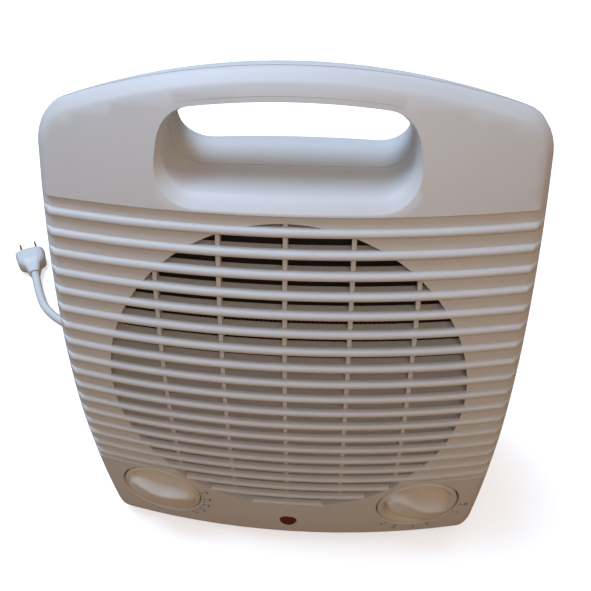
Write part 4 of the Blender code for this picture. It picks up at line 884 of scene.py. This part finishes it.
# Pad-printing ink: a thin matt film, very slightly broken where it crosses the plastic's grain.
clouded(tree, shader, 1500.0, 2.0, "#26231F", "#3D3833")
shader.inputs["Roughness"].default_value = 0.7


def on_face(side, x, y):
    """A point of a dial's print, carried straight back on to the bowed face."""
    at = dial_frame(side) @ Vector((x, y, 0))
    return Vector((at.x, front_face(at.x, at.z) - INK_STAND, at.z))


def add_tick(shape, side, angle, long, wide):
    along = Vector((math.cos(angle), math.sin(angle)))
    across = Vector((-along.y, along.x)) * wide / 2
    inner, outer = along * TICK_RADIUS, along * (TICK_RADIUS + long)
    corners = (inner - across, outer - across, outer + across, inner + across)
    shape.faces.new([shape.verts.new(on_face(side, *corner)) for corner in corners])


def add_dot(shape, side, angle, radius):
    middle = Vector((math.cos(angle), math.sin(angle))) * FIGURE_RADIUS
    ring = circle(middle.x, middle.y, radius, 14)
    shape.faces.new([shape.verts.new(on_face(side, *point)) for point in ring])


def add_figure(shape, side, angle, figure):
    """One numeral from Blender's own font, flattened on to the face."""
    text = bpy.data.curves.new("figure", "FONT")
    text.body, text.size = figure, FIGURE_SIZE
    text.align_x, text.align_y = "CENTER", "CENTER"
    letter = bpy.data.objects.new("figure", text)
    scene.collection.objects.link(letter)
    graph = bpy.context.evaluated_depsgraph_get()
    flat = bpy.data.meshes.new_from_object(letter.evaluated_get(graph))
    middle = Vector((math.cos(angle), math.sin(angle))) * FIGURE_RADIUS
    for vert in flat.vertices:
        vert.co = on_face(side, vert.co.x + middle.x, vert.co.y + middle.y)
    shape.from_mesh(flat)
    bpy.data.objects.remove(letter)
    bpy.data.meshes.remove(flat)


def print_marks(name, side, angles, figures, dots):
    shape = bmesh.new()
    for index, degrees in enumerate(angles):
        angle = math.radians(degrees)
        long = TICK_LONG if index % 2 == 0 else TICK_LONG * MINOR_SHARE
        add_tick(shape, side, angle, long, TICK_WIDE)
        if index in figures:
            add_figure(shape, side, angle, figures[index])
        elif index in dots:
            add_dot(shape, side, angle, dots[index])
    for face in shape.faces:
        if face.normal.y > 0:
            face.normal_flip()
    mesh = bpy.data.meshes.new(name)
    shape.to_mesh(mesh)
    shape.free()
    mesh.materials.append(ink_material)
    made = bpy.data.objects.new(name, mesh)
    scene.collection.objects.link(made)
    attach(made, "root")


thermostat_marks = [12, 4, -4, -12, -20, -28, -36, -44, -52, -60]
print_marks("thermostat_marks", -1, thermostat_marks, {0: "5", 2: "4", 4: "3", 6: "2", 8: "1"}, {})
mode_marks = [-8, -28, -70, -88, -112, -130]
print_marks("mode_marks", 1, mode_marks, {0: "0", 2: "1", 4: "2"}, {1: 0.0005, 3: 0.0005, 5: 0.0007})

# ---------------------------------------------------------------- Pilot light
# A domed lens of clear red acrylic, pressed into the foot panel in front of a neon lamp.
lens_material, tree, shader = new_material("red_acrylic")
# Tinted acrylic looks almost black-red where it is unlit, with one small bright reflection.
clouded(tree, shader, 300.0, 2.0, "#6A1D1C", "#541212")
shader.inputs["Roughness"].default_value = 0.12
shader.inputs["IOR"].default_value = 1.49
LENS_DEEP, LENS_SHOULDER, LENS_STAND, LENS_DOME, LENS_STEPS = 0.0022, 0.0001, 0.0002, 0.0009, 32
DOME_RADIUS = LENS_RADIUS * 0.97
lens_profile = [(LENS_RADIUS, LENS_DEEP), (LENS_RADIUS, LENS_SHOULDER), (DOME_RADIUS, -LENS_STAND)]
for angle in (0.3, 0.6, 0.9, 1.2, 1.4):
    lens_profile.append((DOME_RADIUS * math.cos(angle), -LENS_STAND - LENS_DOME * math.sin(angle)))
sections = []
for radius, depth in lens_profile:
    points = circle(0, LENS_Z, radius, LENS_STEPS)
    sections.append([(x, front_face(0, LENS_Z) + depth, z) for x, z in points])
lens_cap = lofted("pilot_lens_cap", sections, lens_material, sharp=50)
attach(lens_cap, "root")
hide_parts("pilot_lens")

# ---------------------------------------------------------------- Case screws
# Zinc-plated steel pan-head screws with a cross recess, seated at the bottom of the four deep
# wells in the rear shell.
HEAD_RADIUS, HEAD_HIGH, RECESS_LONG, RECESS_WIDE, RECESS_DEEP = 0.0035, 0.0021, 0.0021, 0.00055, 0.0011
# Share of the head that is straight rim, and the most a screw may be turned from the next.
HEAD_RIM, MOST_TURN = 0.45, 1.5
SCREW_STEPS, SHANK_RADIUS, SHANK_LONG, SHANK_TIP, SEAT_Y = 32, 0.0012, 0.013, 0.001, -0.0005
steel_material, tree, shader = new_material("zinc_plated_steel")
# Bright zinc over pressed steel: a metal with fine drawing lines and a cool, slightly cloudy sheen.
spangle = clouded(tree, shader, 260.0, 4.0, "#B9BCC0", "#9A9DA2")
sheen = add(tree, "ShaderNodeMapRange", {"Value": spangle, "To Min": 0.28, "To Max": 0.42})
tree.links.new(sheen.outputs["Result"], shader.inputs["Roughness"])
shader.inputs["Metallic"].default_value = 1.0

profile = [(SHANK_RADIUS / 2, -SHANK_LONG), (SHANK_RADIUS, SHANK_TIP - SHANK_LONG), (SHANK_RADIUS, 0)]
profile += [(HEAD_RADIUS, 0), (HEAD_RADIUS, HEAD_HIGH * HEAD_RIM)]
for angle in (0.35, 0.7, 1.05, 1.3):
    crown = HEAD_HIGH * (HEAD_RIM + (1 - HEAD_RIM) * math.sin(angle))
    profile.append((HEAD_RADIUS * math.cos(angle), crown))
sections = []
for radius, depth in profile:
    sections.append([(x, depth, z) for x, z in circle(0, 0, radius, SCREW_STEPS)])
one_screw = lofted("one_screw", sections, steel_material)
cross = bmesh.new()
for long, wide in ((RECESS_LONG, RECESS_WIDE), (RECESS_WIDE, RECESS_LONG)):
    made = bmesh.ops.create_cube(cross, size=1.0)["verts"]
    bmesh.ops.scale(cross, vec=(long * 2, RECESS_DEEP * 2, wide * 2), verts=made)
    bmesh.ops.translate(cross, vec=(0, HEAD_HIGH, 0), verts=made)
recess = mesh_object("recess", cross, steel_material)
cut = one_screw.modifiers.new("recess", "BOOLEAN")
cut.operation, cut.object, cut.solver = "DIFFERENCE", recess, "EXACT"
cut.use_self = True

tree, given = new_tree("screw_set", Side=0.0, Low=0.0, High=0.0, Seat=0.0)
kind = "ShaderNodeMath"
spread = add(tree, kind, {0: given["High"], 1: given["Low"]}, operation="SUBTRACT").outputs[0]
both = add(tree, kind, {0: given["High"], 1: given["Low"]}, operation="ADD").outputs[0]
width = add(tree, kind, {0: given["Side"], 1: 2.0}, operation="MULTIPLY").outputs[0]
height = add(tree, kind, {0: both, 1: 0.5}, operation="MULTIPLY").outputs[0]
corners = {"Size X": width, "Size Y": spread, "Vertices X": 2, "Vertices Y": 2}
four = add(tree, "GeometryNodeMeshGrid", corners)
seat = add(tree, "ShaderNodeCombineXYZ", {"Y": given["Seat"], "Z": height})
stood = add(
    tree,
    "GeometryNodeTransform",
    {"Geometry": four.outputs["Mesh"], "Translation": seat.outputs[0], "Rotation": (math.pi / 2, 0.0, 0.0)},
)
seats = {"Points": stood.outputs[0], "Instance": given["Geometry"]}
set_out = add(tree, "GeometryNodeInstanceOnPoints", seats)
turns = add(tree, "FunctionNodeRandomValue", {"Seed": 5}, data_type="FLOAT")
turns.inputs[3].default_value = MOST_TURN
spin = add(tree, "ShaderNodeCombineXYZ", {"Y": turns.outputs[1]})
turning = {"Instances": set_out.outputs[0], "Rotation": spin.outputs[0]}
turned_set = add(tree, "GeometryNodeRotateInstances", turning)
real = add(tree, "GeometryNodeRealizeInstances", {"Geometry": turned_set.outputs[0]})
coated = add(tree, "GeometryNodeSetMaterial", {"Geometry": real.outputs[0], "Material": given["Material"]})
add(tree, "NodeGroupOutput", {"Geometry": coated.outputs[0]})
sizes = {"Side": SCREW_SIDE, "Low": SCREW_LOW, "High": SCREW_HIGH, "Seat": SEAT_Y}
screws = grown("case_screws", one_screw, tree, **sizes, Material=steel_material)
bpy.data.objects.remove(recess)
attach(screws, "root")
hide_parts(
    "case_screw_low_left", "case_screw_low_right", "case_screw_high_left", "case_screw_high_right"
)


def finish_nodes(material, *names):
    """Gives kept CAD nodes their real finish."""
    for name in names:
        mesh = nodes[name].data
        mesh.materials.clear()
        mesh.materials.append(material)


finish_nodes(steel_material, "motor_shaft", "left_motor_post", "right_motor_post", "thermal_cutout")
finish_nodes(steel_material, "thermostat_body", "thermostat_spindle", "mode_spindle")

# ---------------------------------------------------------------- Element and its frame
# PTC ceramic stones clamped between brazed aluminium fins, held in a dark heat-resistant frame
# that closes the space behind the outlet's collar.
# A band texture of scale 1 repeats every 0.314 m.
FIN_PITCH, BAND_REPEAT = 0.0022, 0.314
frame_material, tree, shader = new_material("phenolic_resin")
# Glass-filled phenolic: dark brown-black, dull, with a slightly rough pressed surface.
fleck = clouded(tree, shader, 420.0, 5.0, "#1C1714", "#2B2420")
shader.inputs["Roughness"].default_value = 0.65
bump = add(tree, "ShaderNodeBump", {"Height": fleck, "Strength": 0.3, "Distance": 0.0003})
tree.links.new(bump.outputs["Normal"], shader.inputs["Normal"])
finish_nodes(frame_material, "element_frame")

fin_material, tree, shader = new_material("brazed_aluminium_fins")
# Corrugated fins 2.2 mm apart, dulled and browned by heat, with painted shade: a near-black band in the
# colour for the shaded gap beside every crest.
place = add(tree, "ShaderNodeTexCoord")
fins = add(
    tree,
    "ShaderNodeTexWave",
    {"Vector": place.outputs["Object"], "Scale": BAND_REPEAT / FIN_PITCH},
    wave_type="BANDS",
    bands_direction="X",
    wave_profile="SIN",
)
scorch = add(tree, "ShaderNodeTexNoise", {"Vector": place.outputs["Object"], "Scale": 70.0, "Detail": 4.0})
metal = add(
    tree,
    "ShaderNodeMix",
    {0: scorch.outputs["Fac"], 6: linear("#6E675F"), 7: linear("#4B3E34")},
    data_type="RGBA",
)
# Painted shade: the band between fins is coloured near black, as the shade that falls in each gap.
tint = add(
    tree,
    "ShaderNodeMix",
    {0: fins.outputs["Fac"], 6: linear("#0C0A09"), 7: metal.outputs[2]},
    data_type="RGBA",
)
tree.links.new(tint.outputs[2], shader.inputs["Base Color"])
shader.inputs["Metallic"].default_value = 0.6
shader.inputs["Roughness"].default_value = 0.5
bump = add(tree, "ShaderNodeBump", {"Height": fins.outputs["Fac"], "Strength": 0.8, "Distance": 0.0008})
tree.links.new(bump.outputs["Normal"], shader.inputs["Normal"])
finish_nodes(fin_material, "ptc_element")

# ---------------------------------------------------------------- Fan, duct and motor
# A five-bladed fan of glass-filled nylon in a round duct, driven by a small shaded-pole motor:
# laminated steel core, enamelled copper coil, pressed brackets and sintered bronze bushes.
nylon_material, tree, shader = new_material("glass_filled_nylon")
# Black nylon with short glass: matt, with a faint grey bloom of fibre at its surface.
bloom = clouded(tree, shader, 180.0, 6.0, "#141415", "#242426")
sheen = add(tree, "ShaderNodeMapRange", {"Value": bloom, "To Min": 0.5, "To Max": 0.7})
tree.links.new(sheen.outputs["Result"], shader.inputs["Roughness"])
finish_nodes(nylon_material, "impeller", "fan_duct", "rotary_switch_body", "tip_over_switch")

LAMINATION = 0.0007
core_material, tree, shader = new_material("laminated_steel")
# Stacked stampings 0.5 mm thick with varnish between them, drawn at 0.7 mm so that they show.
place = add(tree, "ShaderNodeTexCoord")
stack = add(
    tree,
    "ShaderNodeTexWave",
    {"Vector": place.outputs["Object"], "Scale": BAND_REPEAT / LAMINATION},
    wave_type="BANDS",
    bands_direction="Y",
)
tint = add(
    tree,
    "ShaderNodeMix",
    {0: stack.outputs["Fac"], 6: linear("#3C3A38"), 7: linear("#8A8A8C")},
    data_type="RGBA",
)
tree.links.new(tint.outputs[2], shader.inputs["Base Color"])
shader.inputs["Metallic"].default_value = 0.9
shader.inputs["Roughness"].default_value = 0.45
finish_nodes(core_material, "motor_core", "motor_rotor")

WIRE = 0.0005
copper_material, tree, shader = new_material("enamelled_copper")
# Fine magnet wire in level turns under clear enamel: warm and glossy, its ridges across the coil drawn as
# painted shade, a darker band in each groove between turns.
place = add(tree, "ShaderNodeTexCoord")
wires = add(
    tree,
    "ShaderNodeTexWave",
    {"Vector": place.outputs["Object"], "Scale": BAND_REPEAT / WIRE, "Distortion": 0.4},
    wave_type="BANDS",
    bands_direction="Y",
)
# Painted shade: the dark copper tone marks the shade in the grooves between turns.
tint = add(
    tree,
    "ShaderNodeMix",
    {0: wires.outputs["Fac"], 6: linear("#5A2A14"), 7: linear("#B5653A")},
    data_type="RGBA",
)
tree.links.new(tint.outputs[2], shader.inputs["Base Color"])
shader.inputs["Metallic"].default_value = 0.85
shader.inputs["Roughness"].default_value = 0.3
finish_nodes(copper_material, "motor_coil")

aluminium_material, tree, shader = new_material("pressed_aluminium")
# Die-cast and pressed brackets: pale, softly brushed by tumbling.
clouded(tree, shader, 500.0, 3.0, "#C9C9CB", "#AEAFB2")
shader.inputs["Metallic"].default_value = 1.0
shader.inputs["Roughness"].default_value = 0.38
finish_nodes(aluminium_material, "front_bracket", "rear_bracket")

bronze_material, tree, shader = new_material("sintered_bronze")
# Pressed bronze powder soaked in oil: brown-gold and finely pitted.
clouded(tree, shader, 900.0, 2.0, "#7A5C32", "#A37E4A")
shader.inputs["Metallic"].default_value = 1.0
shader.inputs["Roughness"].default_value = 0.45
finish_nodes(bronze_material, "front_bush", "rear_bush")

fitting_material, tree, shader = new_material("natural_nylon")
# Unpigmented nylon and glazed ceramic of the small electrical fittings: white and slightly waxy.
clouded(tree, shader, 120.0, 3.0, "#E9E7DE", "#D8D5C8")
shader.inputs["Roughness"].default_value = 0.35
finish_nodes(fitting_material, "cord_clamp", "pilot_lamp", "terminal_block", "thermal_fuse")

# ---------------------------------------------------------------- Feet
# Black rubber discs pressed into the base, dusty from standing.
rubber_material, tree, shader = new_material("moulded_rubber")
# Natural rubber: nearly black, no gloss, with pale dust in its low spots.
clouded(tree, shader, 350.0, 5.0, "#1B1B1A", "#383633")
shader.inputs["Roughness"].default_value = 0.85
finish_nodes(rubber_material, "foot_front_left", "foot_front_right", "foot_rear_left", "foot_rear_right")

# ---------------------------------------------------------------- Plug and relief
# The flat two-pin plug and the tapered relief are moulded on to the flex in the same white PVC; the
# blades are plain brass.
finish_nodes(cord_material, "cord_inner_end", "strain_relief", "plug_body")
brass_material, tree, shader = new_material("rolled_brass")
# Stamped brass strip, dulled by use, with fine scratches along it.
clouded(tree, shader, 700.0, 2.0, "#C9A961", "#A98A48")
shader.inputs["Metallic"].default_value = 1.0
shader.inputs["Roughness"].default_value = 0.3
finish_nodes(brass_material, "plug_blade_left", "plug_blade_right")

# ---------------------------------------------------------------- Light
# Soft daylight: a cool dome, brightest high up on the left, falling to a dim warm room at the
# horizon. A cool window above and behind lights the upper edges, and a warm room lamp the front.
LAMPS = (
    ("window", (-0.42, 0.16, 1.42), 0.7, 17.0, "#BEDAFF"),
    ("room", (0.45, -1.30, 1.10), 0.9, 6.0, "#FFDAB2"),
)
BRIGHTEST = Vector((-0.45, -0.05, 0.89)).normalized()
DOME_TOP, DOME_TOP_STRENGTH = "#D2E4FF", 0.50
DOME_LOW, DOME_LOW_STRENGTH = "#F0CBA2", 0.24
DOME_FROM, DOME_TO = 0.0, 0.9
AIM = Vector((0, 0, 0.13))
for name, at, size, power, colour in LAMPS:
    lamp = bpy.data.lights.new(name, "AREA")
    lamp.size, lamp.energy, lamp.color = size, power, linear(colour)[:3]
    stand = bpy.data.objects.new(name, lamp)
    stand.location = at
    stand.rotation_euler = (AIM - Vector(at)).to_track_quat("-Z", "Y").to_euler()
    scene.collection.objects.link(stand)
world = bpy.data.worlds.new("surround")
scene.world = world
world.use_nodes = True
tree = world.node_tree
tree.nodes.clear()
toward = add(tree, "ShaderNodeTexCoord").outputs["Generated"]
height = add(tree, "ShaderNodeVectorMath", {0: toward, 1: BRIGHTEST}, operation="DOT_PRODUCT")
share = add(
    tree,
    "ShaderNodeMapRange",
    {"Value": height.outputs["Value"], "From Min": DOME_FROM, "From Max": DOME_TO},
    interpolation_type="SMOOTHSTEP",
)
low = {"Color": linear(DOME_LOW), "Strength": DOME_LOW_STRENGTH}
top = {"Color": linear(DOME_TOP), "Strength": DOME_TOP_STRENGTH}
low_glow = add(tree, "ShaderNodeBackground", low)
top_glow = add(tree, "ShaderNodeBackground", top)
blend = {0: share.outputs[0], 1: low_glow.outputs[0], 2: top_glow.outputs[0]}
dome = add(tree, "ShaderNodeMixShader", blend)
seen = add(tree, "ShaderNodeLightPath").outputs["Is Camera Ray"]
plain = add(tree, "ShaderNodeBackground", {"Color": linear("#FFFFFF"), "Strength": 1.0})
either = add(tree, "ShaderNodeMixShader", {0: seen, 1: dome.outputs[0], 2: plain.outputs[0]})
add(tree, "ShaderNodeOutputWorld", {"Surface": either.outputs[0]})
